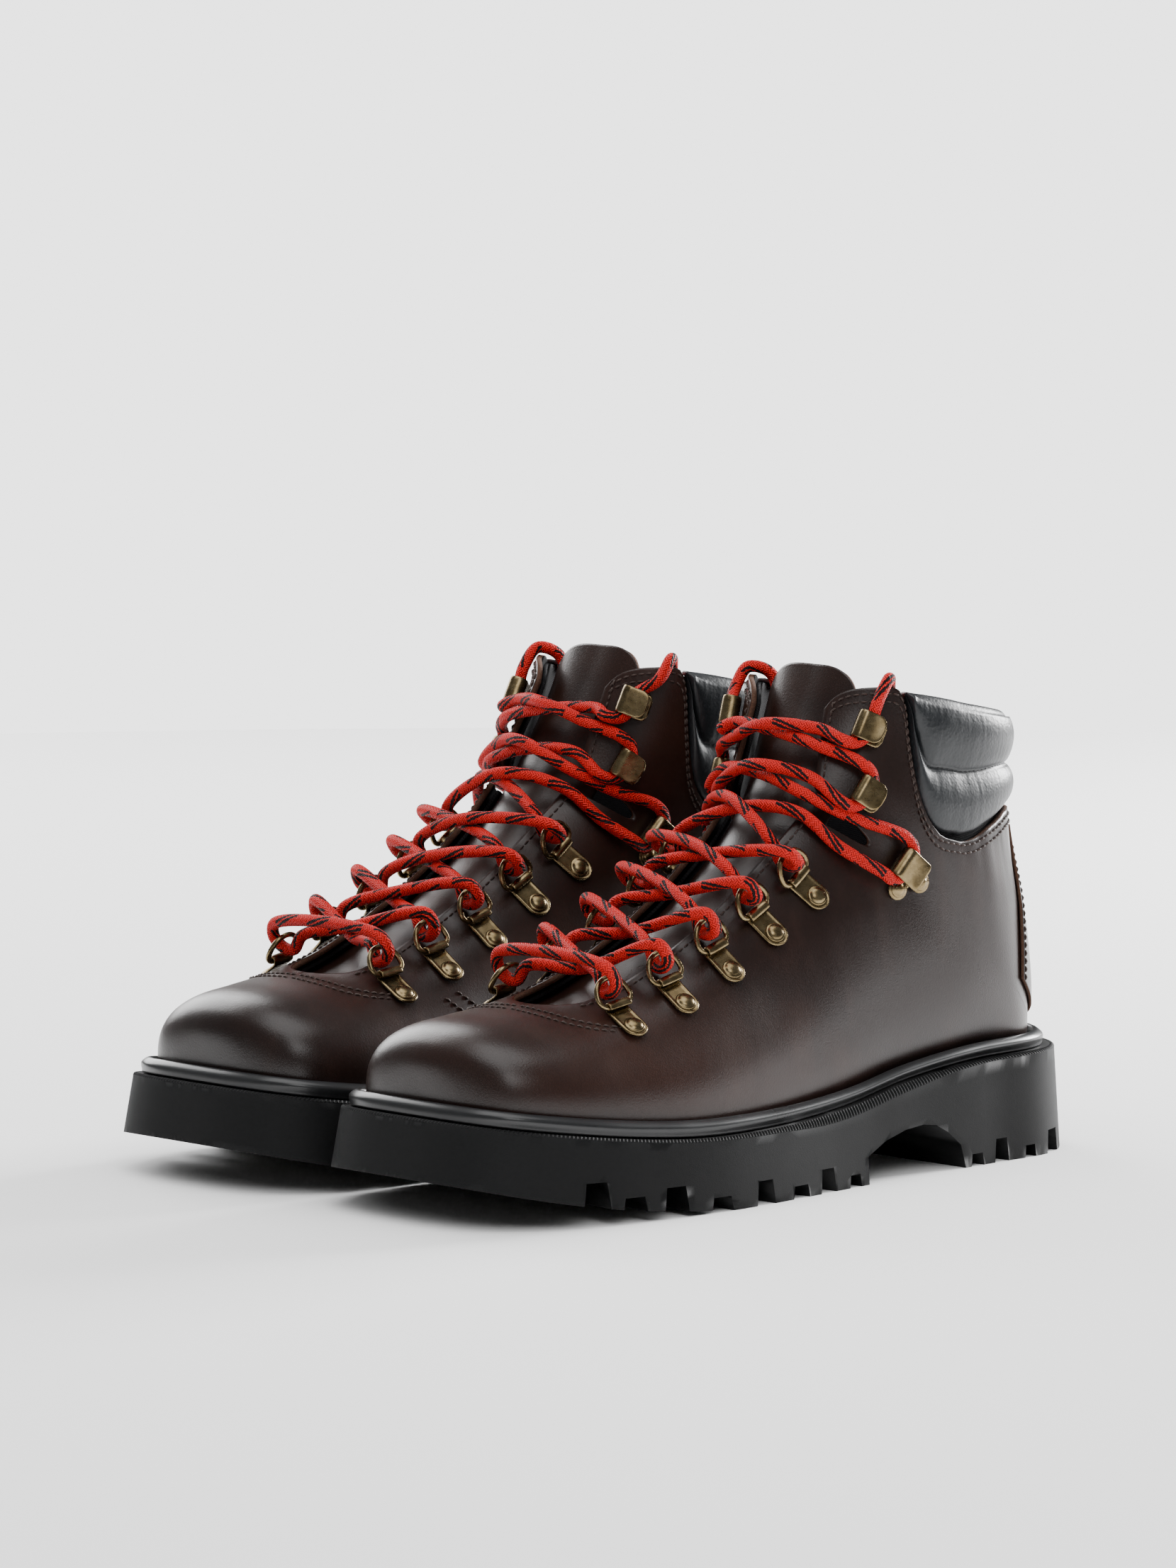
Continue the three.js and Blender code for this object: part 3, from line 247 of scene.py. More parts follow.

# %% [markdown]
# ## Leathers
# The uppers are waxed pull-up leather: nearly black-brown, redder where it has been pulled,
# with a fine grain and a soft shine. An attribute set on each mesh darkens the toe, where it
# is burnished, and the edge by the sole, where the darkening is painted shade. Cut edges show
# raw fibres, and the collar is a soft black glove leather with a larger, softer grain.


# %% Leather finishes
def brown_leather():
    """Two browns mixed by broad noise, darkened by toe burnish and by painted shade along the
    sole; grain from two fine noises.
    """
    f = Finish("brown_leather", IOR=1.5, Specular_IOR_Level=0.5)
    cloud, streak = f.noise(14, 4), f.noise(60, 5, (1, 1, 0.35))
    grain, pore = f.noise(1500, 3), f.noise(5200, 2)
    pull = ((cloud - 0.42) * 2.6).clamp()
    base = f.mix(pull, (0.0125, 0.0055, 0.0042), (0.036, 0.0125, 0.0075))
    worn = f.mix(((streak - 0.52) * 3.0).clamp() * 0.4, base, (0.05, 0.022, 0.0145))
    # Darker brown: burnish on the toe, and painted shade along the edge by the sole.
    colour = f.mix(f.attribute("burnish"), worn, (0.006, 0.0036, 0.0032))
    height = grain * 0.7 + pore * 0.3 + streak * 0.8
    return f.feed(Base_Color=colour, Roughness=streak * 0.12 + grain * 0.05 + 0.22,
                  Normal=f.bump(height, 0.22, 0.0004))


def raw_edge():
    f = Finish("raw_edge", Specular_IOR_Level=0.2)
    fibre = f.noise(1800, 4)
    return f.feed(Base_Color=f.mix(fibre, (0.03, 0.014, 0.009), (0.12, 0.06, 0.038)),
                  Roughness=fibre * 0.1 + 0.82, Normal=f.bump(fibre, 0.6, 0.0005))


def black_leather():
    """Near black with a pebbled grain and faint creases."""
    f = Finish("black_leather", IOR=1.5)
    place = f.node("ShaderNodeTexCoord")[3]
    pebble = f.node("ShaderNodeTexVoronoi", {"feature": "SMOOTH_F1"}, {"Vector": place, "Scale": 950.0})[0]
    crease, cloud = f.noise(150, 5, (0.5, 0.5, 1)), f.noise(25, 3)
    return f.feed(Base_Color=f.mix(cloud, (0.006, 0.0075, 0.009), (0.0125, 0.0145, 0.017)),
                  Roughness=crease * 0.2 + 0.3, Normal=f.bump(pebble * 0.4 + crease * 1.4, 0.3, 0.0006))


BROWN, RAW, BLACK = brown_leather(), raw_edge(), black_leather()
print("leathers:", BROWN.name, RAW.name, BLACK.name)

# %% [markdown]
# ## Rubber, metal, cloth and thread
# The sole is moulded rubber, matte on its walls, and the welt bead is the same rubber
# polished. The metal is brass plated dark and rubbed bright where it is touched. Linings
# and footbeds are woven, and the board, shank and stiffener hidden inside have simple
# finishes of their own.


# %% Other finishes
def rubber(name, low, high, tone, relief, shine):
    f = Finish(name, IOR=1.48, Specular_IOR_Level=shine)
    fine, broad = f.noise(2600, 2), f.noise(35, 3)
    return f.feed(Base_Color=f.mix(broad, tuple(0.7 * c for c in tone), tone),
                  Roughness=broad * (high - low) + low, Normal=f.bump(fine, relief, 0.0002))


def antique_brass():
    f = Finish("antique_brass", Metallic=1.0)
    brushed, patch = f.noise(900, 3, (1, 0.15, 1)), f.noise(320, 4)
    tarnish = ((patch - 0.3) * 1.5).clamp()
    return f.feed(Base_Color=f.mix(tarnish, (0.16, 0.115, 0.055), (0.4, 0.31, 0.17)),
                  Roughness=brushed * 0.16 + 0.2, Normal=f.bump(brushed, 0.03, 0.0002))


def woven(name, dark, light, threads):
    f = Finish(name, Specular_IOR_Level=0.2)
    place = f.node("ShaderNodeTexCoord")[3]
    x, y, z = f.node("ShaderNodeSeparateXYZ", {}, {0: place})
    weave = ((x + z) * threads).wave() * ((y + z) * threads).wave()
    # Painted shade: the cloth's colour darkens in the gaps between threads.
    return f.feed(Base_Color=f.mix(weave, dark, light), Roughness=weave * -0.1 + 0.92,
                  Normal=f.bump(weave, 0.5, 0.0003))


def fibrous(name, dark, light, rough, metal=0.0):
    f = Finish(name, Metallic=metal)
    fibre = f.noise(700, 4, (1, 0.2, 1))
    return f.feed(Base_Color=f.mix(fibre, dark, light), Roughness=fibre * 0.1 + rough,
                  Normal=f.bump(fibre, 0.3, 0.0003))


RUBBER = rubber("sole_rubber", 0.55, 0.72, (0.0052, 0.0054, 0.0058), 0.2, 0.22)
WELT_RUBBER = rubber("welt_rubber", 0.2, 0.42, (0.014, 0.0145, 0.0155), 0.06, 0.6)
BRASS = antique_brass()
LINING = woven("lining_cloth", (0.006, 0.006, 0.007), (0.024, 0.024, 0.026), 1400)
BED_CLOTH = woven("footbed_cloth", (0.012, 0.012, 0.014), (0.04, 0.04, 0.044), 900)
BOARD = fibrous("pressed_board", (0.2, 0.13, 0.08), (0.36, 0.26, 0.17), 0.8)
STEEL = fibrous("spring_steel", (0.35, 0.35, 0.36), (0.55, 0.55, 0.56), 0.3, 1.0)
THREAD = fibrous("brown_thread", (0.016, 0.009, 0.007), (0.06, 0.036, 0.028), 0.6)
BLACK_THREAD = fibrous("black_thread", (0.006, 0.006, 0.007), (0.03, 0.03, 0.032), 0.55)


def lace_braid():
    """Two sets of strands wind round the lace opposite ways; a checker of their cells says
    which set is on top. A slower spiral of paired dashes is black."""
    f = Finish("lace_braid", Specular_IOR_Level=0.25)
    u, along, _ = f.node("ShaderNodeSeparateXYZ", {}, {0: f.node("ShaderNodeUVMap", {"uv_map": "braid"})[0]})
    one, other = u * 12.0 + along, along - u * 12.0
    top = (((one * 0.5).floor() + (other * 0.5).floor()).modulo(2.0)) > 0.5
    height = one.wave() * top + other.wave() * (1 - top)
    length = along * 1.05
    lane = (u * 2.0 - length * (2 / 39) + top * 0.03).modulo(1.0)
    pair_of_dashes = (lane < 0.16) + ((lane - 0.25).modulo(1.0) < 0.16)
    black = pair_of_dashes.clamp() * ((length * (1 / 17)).modulo(1.0) < 0.7)
    # Painted shade: the red darkens in the grooves between strands and is brightest on their crowns.
    red_with_painted_shade = f.mix(height.power(0.6), (0.2, 0.003, 0.003), (0.74, 0.012, 0.009))
    colour = f.mix(black, red_with_painted_shade, (0.006, 0.003, 0.004))
    return f.feed(Base_Color=colour, Roughness=height * -0.12 + 0.72, Normal=f.bump(height, 0.9, 0.0005))


LACE_BRAID = lace_braid()
TIP = Finish("lace_tip", Base_Color=(0.02, 0.02, 0.02, 1), Roughness=0.25).material
print("finishes:", len(bpy.data.materials))

# %% [markdown]
# ## The last
# A boot is pulled over a last, and its outside is one smooth surface. Here it is a row of
# slanted rings, each a pair of half superellipses between a bottom (or back) point and a
# top (or front) point. A place on it is (turn, v): turn goes from 0 at the bottom or back
# to 1 at the top or front, and v from 0 at the toe tip to 1 at the collar's top. Lengths
# are in millimetres here and become metres when a mesh is made.

# %% Rings of the last
CENTRE, SPACING = 148.11095, 125.0
GAP = 0.3
# Forward and height of the top, forward and height of the bottom, half width, widest
# share, exponents below and above it, sideways shift, pinch at the bottom.
RINGS = np.array([
    [287.5, 48, 287.5, 28, 0, 0.45, 3.0, 2.2, -6, 0],
    [286.5, 56, 286.5, 28, 21, 0.42, 3.0, 2.2, -6, 0],
    [282, 62, 282, 27, 34, 0.4, 3.2, 2.3, -6, 0],
    [272.5, 66, 272.5, 25, 41.5, 0.38, 3.4, 2.3, -6, 0],
    [256.5, 68, 256.5, 22, 46, 0.36, 3.6, 2.3, -5, 0],
    [236, 71, 234, 19, 48, 0.34, 3.8, 2.3, -3.5, 0],
    [213, 78, 204, 17, 48.5, 0.32, 4.0, 2.2, -2, 0],
    [190, 90, 170, 17, 46, 0.34, 4.0, 2.1, -1, 0.02],
    [170, 103, 130, 20, 43, 0.37, 4.0, 2.1, -1, 0.1],
    [153, 116, 88, 26, 41.5, 0.42, 3.8, 2.2, -1, 0.18],
    [141, 127, 46, 28, 41, 0.46, 3.4, 2.3, -1, 0.24],
    [133, 137, 13.5, 28, 41, 0.48, 3.0, 2.4, -1.5, 0.24],
    [127, 145, 9, 48, 41.5, 0.5, 2.6, 2.5, -2, 0.1],
    [122, 153, 12, 74, 42, 0.52, 2.5, 2.5, -3, 0.02],
    [117.5, 161, 16.5, 98, 42, 0.52, 2.4, 2.5, -4.5, 0],
    [113.5, 169, 19, 121, 42, 0.52, 2.4, 2.5, -5.5, 0],
    [110, 177, 20.5, 143, 42.5, 0.52, 2.4, 2.5, -6, 0],
    [107, 184, 21, 161, 43, 0.52, 2.4, 2.5, -6.5, 0],
])


def smooth(knots, rows, at):
    """Cubic through rows of values at rising knots, each slope the one between the
    neighbours on both sides."""
    knots, rows, at = np.asarray(knots, float), np.asarray(rows, float), np.asarray(at, float)
    i = np.clip(np.searchsorted(knots, at, side="right") - 1, 0, len(knots) - 2)
    ends = np.arange(len(knots))
    lo, hi = np.maximum(ends - 1, 0), np.minimum(ends + 1, len(knots) - 1)
    slopes = (rows[hi] - rows[lo]) / (knots[hi] - knots[lo])[:, None]
    step = (knots[i + 1] - knots[i])[..., None]
    t = (at[..., None] - knots[i][..., None]) / step
    return ((2 * t**3 - 3 * t**2 + 1) * rows[i] + (t**3 - 2 * t**2 + t) * step * slopes[i]
            + (3 * t**2 - 2 * t**3) * rows[i + 1] + (t**3 - t**2) * step * slopes[i + 1])


def curve(*pairs):
    """A smooth curve of one value through (place, value) pairs."""
    knots, values = np.array(pairs, float).T
    return lambda at: smooth(knots, values[:, None], at)[..., 0]


ghost = RINGS[1].copy()
ghost[4] *= -1
ghost[1] = 2 * RINGS[0][1] - RINGS[1][1]
RING_KNOTS = np.arange(-1, len(RINGS)) / (len(RINGS) - 1)
RING_ROWS = np.vstack([ghost, RINGS])


def last(turn, v, side):
    """The point of the last at (turn, v): between the ring's bottom and top by the share
    |cos|^(2/n) away from its widest line, and half width times |sin|^(2/n) sideways."""
    turn, v = np.broadcast_arrays(np.asarray(turn, float), np.asarray(v, float))
    f_top, z_top, f_low, z_low, half, widest, n_low, n_high, shift, pinch = np.moveaxis(
        smooth(RING_KNOTS, RING_ROWS, v), -1, 0)
    along, across = np.abs(np.cos(turn * np.pi)), np.abs(np.sin(turn * np.pi))
    low = turn < 0.5
    n = np.where(low, n_low, n_high)
    rise = along ** (2 / n)
    share = np.where(low, widest * (1 - rise), widest + (1 - widest) * rise)
    narrow = np.where(low, 1 - pinch * along**2, 1)
    return np.stack([shift + side * half * across ** (2 / n) * narrow,
                     f_low + (f_top - f_low) * share, z_low + (z_top - z_low) * share], -1)


def last_normal(turn, v, side, d=0.004):
    """Outward normal: the cross product of two short steps on the surface."""
    turn, v = np.broadcast_arrays(np.asarray(turn, float), np.asarray(v, float))
    t = np.clip(turn, d, 1 - d)
    along_v = last(t, np.minimum(1, v + d), side) - last(t, v - d, side)
    along_turn = last(t + d, v, side) - last(t - d, v, side)
    n = -side * np.cross(along_v, along_turn)
    return n / np.maximum(np.linalg.norm(n, axis=-1, keepdims=True), 1e-12)


def off_last(turn, v, side, distance):
    return last(turn, v, side) + last_normal(turn, v, side) * np.asarray(distance, float)[..., None]


def to_frame(p):
    """From last coordinates to the frame of the left boot, still in millimetres."""
    p = np.asarray(p, float)
    return np.stack([SPACING / 2 + p[..., 0], CENTRE - p[..., 1], p[..., 2]], -1)


sole_top = curve((-10, 38), (40, 38), (68, 37), (100, 33.5), (125, 29), (150, 26.5), (180, 25.5),
                 (210, 26), (235, 28), (260, 31), (285, 34.5), (310, 38.5))


def feather_turn(v, side, lift=0.0):
    """Turn at which the last stands a lift above the sole at each v, found by halving."""
    v = np.asarray(v, float)
    low, high = np.zeros_like(v), np.full_like(v, 0.5)
    start = last(low, v, side)
    clear = start[..., 2] - sole_top(start[..., 1]) - GAP - lift >= 0
    for _ in range(30):
        middle = (low + high) / 2
        p = last(middle, v, side)
        under = p[..., 2] - sole_top(p[..., 1]) - GAP - lift < 0
        low, high = np.where(under, middle, low), np.where(under, high, middle)
    return np.where(clear, 0, high)


def heel_v(lift=0.0):
    """v of the ring whose bottom point is a lift above the sole."""
    low, high = 0.5, 0.9
    for _ in range(30):
        middle = (low + high) / 2
        low, high = (middle, high) if feather_turn(middle, 1, lift) > 0 else (low, middle)
    return high


HEEL_V = heel_v()
print("the back line starts at v =", round(HEEL_V, 4))

# %% [markdown]
# ## Seam lines
# Every edge and seam is a line on the last. The facing's edge closes over the vamp ahead of
# the throat, runs up beside the D-rings, cuts back in a rounded notch at the ankle and goes
# on up the flap. The leather's top edge dips under the ankle bone and rises to the flap.

# %% Seam lines
THROAT_V, THROAT_ROUND, THROAT_HALF = 0.285, 0.035, 18.0
NOTCH_V, NOTCH_WIDTH, NOTCH_DEPTH = 0.662, 0.021, 0.155
throat_curve = curve((0.25, 0.88), (0.35, 0.93), (0.55, 1), (0.68, 1.18), (0.78, 1.1), (0.87, 1.03), (1, 1))
leather_top = curve((0, 0.895), (0.15, 0.89), (0.295, 0.87), (0.407, 0.83), (0.477, 0.792), (0.52, 0.766),
                    (0.557, 0.762), (0.59, 0.79), (0.62, 0.86), (0.65, 0.935), (0.68, 0.957), (0.75, 0.945),
                    (0.82, 0.925), (0.86, 0.9), (0.885, 0.866))
collar_top = curve((0, 0.995), (0.2, 0.993), (0.407, 0.982), (0.55, 0.968), (0.65, 0.957), (0.7, 0.953))


def facing_turn(v, notch=True):
    """Turn of the facing's edge: 1 ahead of the throat, then a round end and a slot, less a
    smooth hump where the notch is cut."""
    v = np.asarray(v, float)
    into = np.clip((v - THROAT_V) / THROAT_ROUND, 0, 1)
    half = THROAT_HALF * throat_curve(v) * np.sqrt(1 - (1 - into) ** 2)
    ring = smooth(RING_KNOTS, RING_ROWS, v)
    across = np.clip(half / np.maximum(ring[..., 4], 1), 0, 0.9) ** (ring[..., 7] / 2)
    turn = 1 - np.arcsin(np.minimum(0.9, across)) / np.pi
    if notch:
        turn = turn - NOTCH_DEPTH * np.exp(-np.abs((v - NOTCH_V) / NOTCH_WIDTH) ** 3)
    return np.where(v <= THROAT_V, 1, turn)


print("facing edge at the ankle:", round(float(facing_turn(0.75)), 3))

# %% [markdown]
# ## Mesh helpers
# `pair` puts a left piece's points into a mesh and mirrors them for the right boot, turning
# the faces round so that they still point outwards. `shell` makes a closed sheet of leather
# between two offsets of the last, with walls along every open edge.


# %% Mesh helpers
def outward(points, faces):
    """The faces, turned round if the closed surface that they make is inside out."""
    p = points[faces[:, [0, 1, 2]]]
    q = points[faces[:, [0, 2, 3]]]
    volume = np.einsum("ij,ij->", p[:, 0], np.cross(p[:, 1], p[:, 2]))
    volume += np.einsum("ij,ij->", q[:, 0], np.cross(q[:, 1], q[:, 2]))
    return faces[:, ::-1] if volume < 0 else faces


def make_mesh(name, points, faces, materials, slots=None, values=None, uvs=None):
    """A mesh of quads, in metres from millimetres. A quad that repeats a corner is a triangle."""
    mesh = bpy.data.meshes.new(name)
    same = np.stack([faces[:, k] == faces[:, (k + 1) % 4] for k in range(4)], 1)
    keep = same.sum(1) <= 1
    listed = [list(dict.fromkeys(f)) for f in faces[keep].tolist()]
    mesh.from_pydata((np.asarray(points) / 1000).tolist(), [], listed)
    for m in materials:
        mesh.materials.append(m)
    if slots is not None:
        mesh.polygons.foreach_set("material_index", np.asarray(slots)[keep].astype(np.int32))
    for key, value in (values or {}).items():
        mesh.attributes.new(key, "FLOAT", "POINT").data.foreach_set("value", np.asarray(value, np.float32))
    if uvs is not None:
        layer = mesh.uv_layers.new(name="braid")
        layer.data.foreach_set("uv", np.asarray(uvs, np.float32)[keep].ravel())
    mesh.polygons.foreach_set("use_smooth", np.ones(len(mesh.polygons), bool))
    mesh.update()
    return mesh


def place(name, mesh, body, replaced=(), slot=None):
    """An object for the mesh at the origin, that rides on a body and stands for CAD nodes."""
    o = bpy.data.objects.new(name, mesh)
    bpy.context.scene.collection.objects.link(o)
    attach(o, body)
    if replaced:
        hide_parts(*replaced)
    return o


def pair(name, points, faces, materials, node=None, slot=None, bodies=None, oriented=False, **extra):
    """The piece on both boots. The right one is its mirror image about the plane between."""
    points, faces = np.asarray(points, float), np.asarray(faces)
    if not oriented:
        faces = outward(points, faces)
    made = []
    for boot, flip in (("left", 1), ("right", -1)):
        p = points * [flip, 1, 1]
        given = dict(extra)
        f = faces
        if flip < 0:
            f = faces[:, ::-1]
            if given.get("uvs") is not None:
                given["uvs"] = np.asarray(given["uvs"])[:, ::-1]
        mesh = make_mesh(f"{boot}_{name}", p, f, materials, **given)
        body = f"{boot}_{bodies}" if bodies else f"{boot}_boot"
        made.append(place(f"{boot}_{name}", mesh, body, [f"{boot}_{node}"] if node else (), slot))
    return made


def grid_faces(rows, columns, start=0, wrap_rows=False, wrap_columns=False):
    """Quads of a grid of points, rows by columns, closed round where asked."""
    i = np.arange(rows if wrap_rows else rows - 1)[:, None]
    j = np.arange(columns if wrap_columns else columns - 1)[None, :]
    a, b = i * columns + j, i * columns + (j + 1) % columns
    c, d = ((i + 1) % rows) * columns + (j + 1) % columns, ((i + 1) % rows) * columns + j
    return np.stack([a, b, c, d], -1).reshape(-1, 4) + start


def shell(grids, rounding=0.0):
    """A closed sheet. Each grid has surface points, normals, outer and inner offsets and a
    side. Points that meet are joined, and open edges get a wall of faces in a third slot."""
    places = np.concatenate([g["p"].reshape(-1, 3) for g in grids])
    normals = np.concatenate([g["n"].reshape(-1, 3) for g in grids])
    offsets = np.concatenate([np.stack(np.broadcast_arrays(g["out"], g["inner"], g["p"][..., 0])[:2], -1)
                              .reshape(-1, 2) for g in grids])
    marks = np.concatenate([np.broadcast_to(g.get("mark", 0.0), g["p"].shape[:2]).ravel() for g in grids])
    start, faces = 0, []
    for g in grids:
        rows, columns = g["p"].shape[:2]
        quads = grid_faces(rows, columns, start)
        faces.append(quads if g["side"] > 0 else quads[:, ::-1])
        start += rows * columns
    faces = np.concatenate(faces)
    _, first, joined = np.unique(np.round(places / 0.02), axis=0, return_index=True, return_inverse=True)
    joined = joined.reshape(-1)
    faces = joined[faces]
    total = np.zeros((len(first), 3))
    np.add.at(total, joined, normals)
    total /= np.maximum(np.linalg.norm(total, axis=1, keepdims=True), 1e-12)
    base, off, marks = places[first], offsets[first], marks[first]
    same = np.stack([faces[:, k] == faces[:, (k + 1) % 4] for k in range(4)], 1)
    faces = faces[same.sum(1) <= 1]
    starts, ends = faces.ravel(), np.roll(faces, -1, axis=1).ravel()
    real = starts != ends
    starts, ends = starts[real], ends[real]
    size = len(first)
    open_edge = ~np.isin(starts * size + ends, ends * size + starts)
    s, e = starts[open_edge], ends[open_edge]
    walls = np.stack([e, s, s + size, e + size], 1)
    points = np.concatenate([base + total * off[:, :1], base + total * off[:, 1:]])
    quads = np.concatenate([faces, faces[:, ::-1] + size, walls])
    slots = np.concatenate([np.zeros(len(faces)), np.ones(len(faces)), np.full(len(walls), 2)])
    flipped = outward(to_frame(points), quads)
    return to_frame(points), flipped, slots, np.concatenate([marks, marks])


def last_grid(turn, v, side, out, inner, mark=0.0):
    turn, v = np.broadcast_arrays(turn, v)
    return {"p": last(turn, v, side), "n": last_normal(turn, v, side), "out": out, "inner": inner,
            "side": side, "mark": mark}


print("mesh helpers ready")

# %% [markdown]
# ## Upper
# One piece of leather wraps the foot from toe to collar, 2 mm thick. Its grid starts at the
# sole (or, above the heel, at the back line) and ends at the facing's edge, so the cut edge
# follows the throat, the notch and the flap. Fine creases fan down from the collar seam,
# where the leather is drawn in.


# %% Upper
def crowded(start, end, count, centre, width):
    """Rising values from start to end, closer together around a centre."""
    x = np.linspace(start, end, 2000)
    weight = 1 + 3.5 * np.exp(-((x - centre) / width) ** 2)
    total = np.concatenate([[0], np.cumsum((weight[1:] + weight[:-1]) / 2)])
    return np.interp(np.linspace(0, total[-1], count), total, x)


FOOT_ROWS = np.unique(np.concatenate([
    np.linspace(0, 0.06, 14), np.linspace(0.06, THROAT_V, 34),
    THROAT_V + THROAT_ROUND * (1 - np.cos(np.linspace(0, np.pi / 2, 12))),
    np.linspace(THROAT_V + THROAT_ROUND, 0.6, 44), crowded(0.6, HEEL_V - 0.002, 34, 0.65, 0.02),
    [HEEL_V - 0.001, HEEL_V]]))
SHARE = np.linspace(0, 1, 64)


def sheet_of_boot(foot_rows, shares, shaft_rows, top_v, trim, out, inner, crease=None, notch=True):
    """The two sides of a sheet that covers foot and shaft, as grids for a shell."""
    grids = []
    for side in (1, -1):
        edge = lambda v: facing_turn(v, notch) - trim * np.clip((v - THROAT_V) / THROAT_ROUND, 0, 1)
        v_low = foot_rows[:, None]
        low = feather_turn(foot_rows, side)[:, None]
        turn_low = low + (edge(foot_rows)[:, None] - low) * shares
        top = top_v(shares * float(facing_turn(0.85, False)))
        rise = crowded(0, 1, shaft_rows + 1, 0, 0.12)[1:, None]
        v_high = HEEL_V + (top - HEEL_V) * rise
        turn_high = shares * edge(v_high)
        turn = np.vstack([turn_low, turn_high])
        v = np.vstack([np.broadcast_to(v_low, turn_low.shape), v_high])
        push = crease(turn, v) if crease else 0.0
        toe = np.exp(-(v / 0.16) ** 2) * 0.75
        foot = last(turn, v, side)
        # Painted shade: the leather's colour darkens within a few millimetres of the sole; the toe's
        # darkening is burnish.
        painted_sole_shade = np.exp(-np.maximum(0, foot[..., 2] - sole_top(foot[..., 1])) / 7) * 0.8
        grids.append(last_grid(turn, v, side, out + push, inner, np.clip(np.maximum(toe, painted_sole_shade), 0, 1)))
    return shell(grids)


def creases(turn, v):
    """Fan of shallow waves under the collar seam, and one long fold across the ankle."""
    below = np.clip((leather_top(np.clip(turn, 0, 0.6)) - v), 0, 1)
    fan = 0.24 * np.sin(turn * 210 + 9 * v + 4 * np.sin(turn * 37)) * np.exp(-below / 0.05)
    fan = fan * np.exp(-((turn - 0.42) / 0.17) ** 2)
    fold = 0.35 * np.sin((v - 0.5 * turn) * 38) * np.exp(-((v - 0.64) / 0.09) ** 2)
    return fan + fold * np.exp(-((turn - 0.45) / 0.2) ** 2)


points, faces, slots, burnish = sheet_of_boot(FOOT_ROWS, SHARE, 62, leather_top, 0, 0.0, -2.0, creases)
pair("leather_upper", points, faces, [BROWN, LINING, RAW], "upper", "brown_leather", oriented=True,
     slots=slots, values={"burnish": burnish})
print("upper:", len(faces), "faces a boot")

# %% [markdown]
# ## Lining
# A black cloth lining follows the leather on the inside, up to just under the collar's
# edge. It shows in the mouth of the boot and behind the flaps.


# %% Lining
def lining_top(turn):
    under_leather = np.where(turn > 0.6, leather_top(np.maximum(turn, 0.68)) - 0.01, 1)
    return np.minimum(collar_top(turn) - 0.012, under_leather)


points, faces, slots, _ = sheet_of_boot(FOOT_ROWS[::2], SHARE[::2], 26, lining_top, 0.012, -3.6, -4.8)
pair("cloth_lining", points, faces, [LINING, LINING, LINING], "lining", "lining_fabric",
     oriented=True, slots=slots)
print("lining:", len(faces), "faces a boot")

# %% [markdown]
# ## Backstay and tongue
# A heel piece covers the seam at the back, between the welt and the collar. The tongue is a
# strap of the same leather from under the vamp to above the flaps, with a rounded top.


# %% Backstay and tongue
def backstay():
    foot = heel_v(2 * 2.9 + 1.2)
    v = np.linspace(foot, 0.868, 60)[:, None]
    reach = curve((0.66, 0.315), (0.7, 0.325), (0.74, 0.31), (0.79, 0.27), (0.84, 0.2), (0.9, 0.15))
    share = np.linspace(0, 1, 28)
    return shell([last_grid(share * reach(v), v, side, 1.5, 0.35, 0.25) for side in (1, -1)])


def tongue():
    """Offsets grow towards the top, where the tongue leans in; its edge is thinner."""
    v0 = np.linspace(0.235, 1, 120)[:, None]
    share = np.linspace(0, 1, 30)
    spread = curve((0.235, 0.1), (0.3, 0.17), (0.42, 0.21), (0.6, 0.215), (0.8, 0.21), (1, 0.2))
    depth = curve((0.235, 0.6), (0.6, 1), (0.7, 2.1), (0.86, 3.4), (1, 4.4))
    grids = []
    for side in (1, -1):
        drop = 0.085 * np.clip((v0 - 0.8) / 0.2, 0, 1) * share**2.6
        v = v0 - drop
        out = -5.9 - depth(v0) * (1 - 0.35 * share)
        ridge = 0.5 / (1 + np.exp(-(v0 - 0.555 - 0.03 * share**2) * 900))
        grid = last_grid(1 - spread(v0) * share, v, side, out + ridge, out - 3 + 0.7 * share**6, 0.1)
        grid["side"] = -side
        grids.append(grid)
    return shell(grids)


points, faces, slots, mark = backstay()
pair("heel_backstay", points, faces, [BROWN, RAW, RAW], "backstay", "brown_leather", oriented=True,
     slots=slots, values={"burnish": mark})
points, faces, slots, mark = tongue()
pair("leather_tongue", points, faces, [BROWN, LINING, RAW], "tongue", "brown_leather", oriented=True,
     slots=slots, values={"burnish": mark})
print("tongue:", len(faces), "faces a boot")

# %% [markdown]
# ## Padded collar
# Soft black leather is sewn over foam in two rolls, one above the other, and turned over
# the top edge to meet the lining. The stitching pulls both rolls down to the shaft, so each
# one is a bulge between two lines, with small puckers where the leather is drawn in.

# %% Padded collar
COLLAR_END = 0.655
collar_seam = curve((0, 0.935), (0.2, 0.93), (0.35, 0.912), (0.449, 0.887), (0.53, 0.86), (0.575, 0.852),
                    (0.61, 0.885), (0.66, 0.95))
COLLAR_TURNS = COLLAR_END * np.linspace(0, 1, 230)


def puckers(turn, rows):
    """Short waves along the seam, strongest at the seams and gone at the crown."""
    wave = np.sin(turn * 265 + 2.2 * np.sin(turn * 31)) + 0.7 * np.sin(turn * 410 + 1.1 * np.sin(turn * 53))
    return 0.02 * wave * (0.35 + np.abs(np.cos(np.pi * rows)))


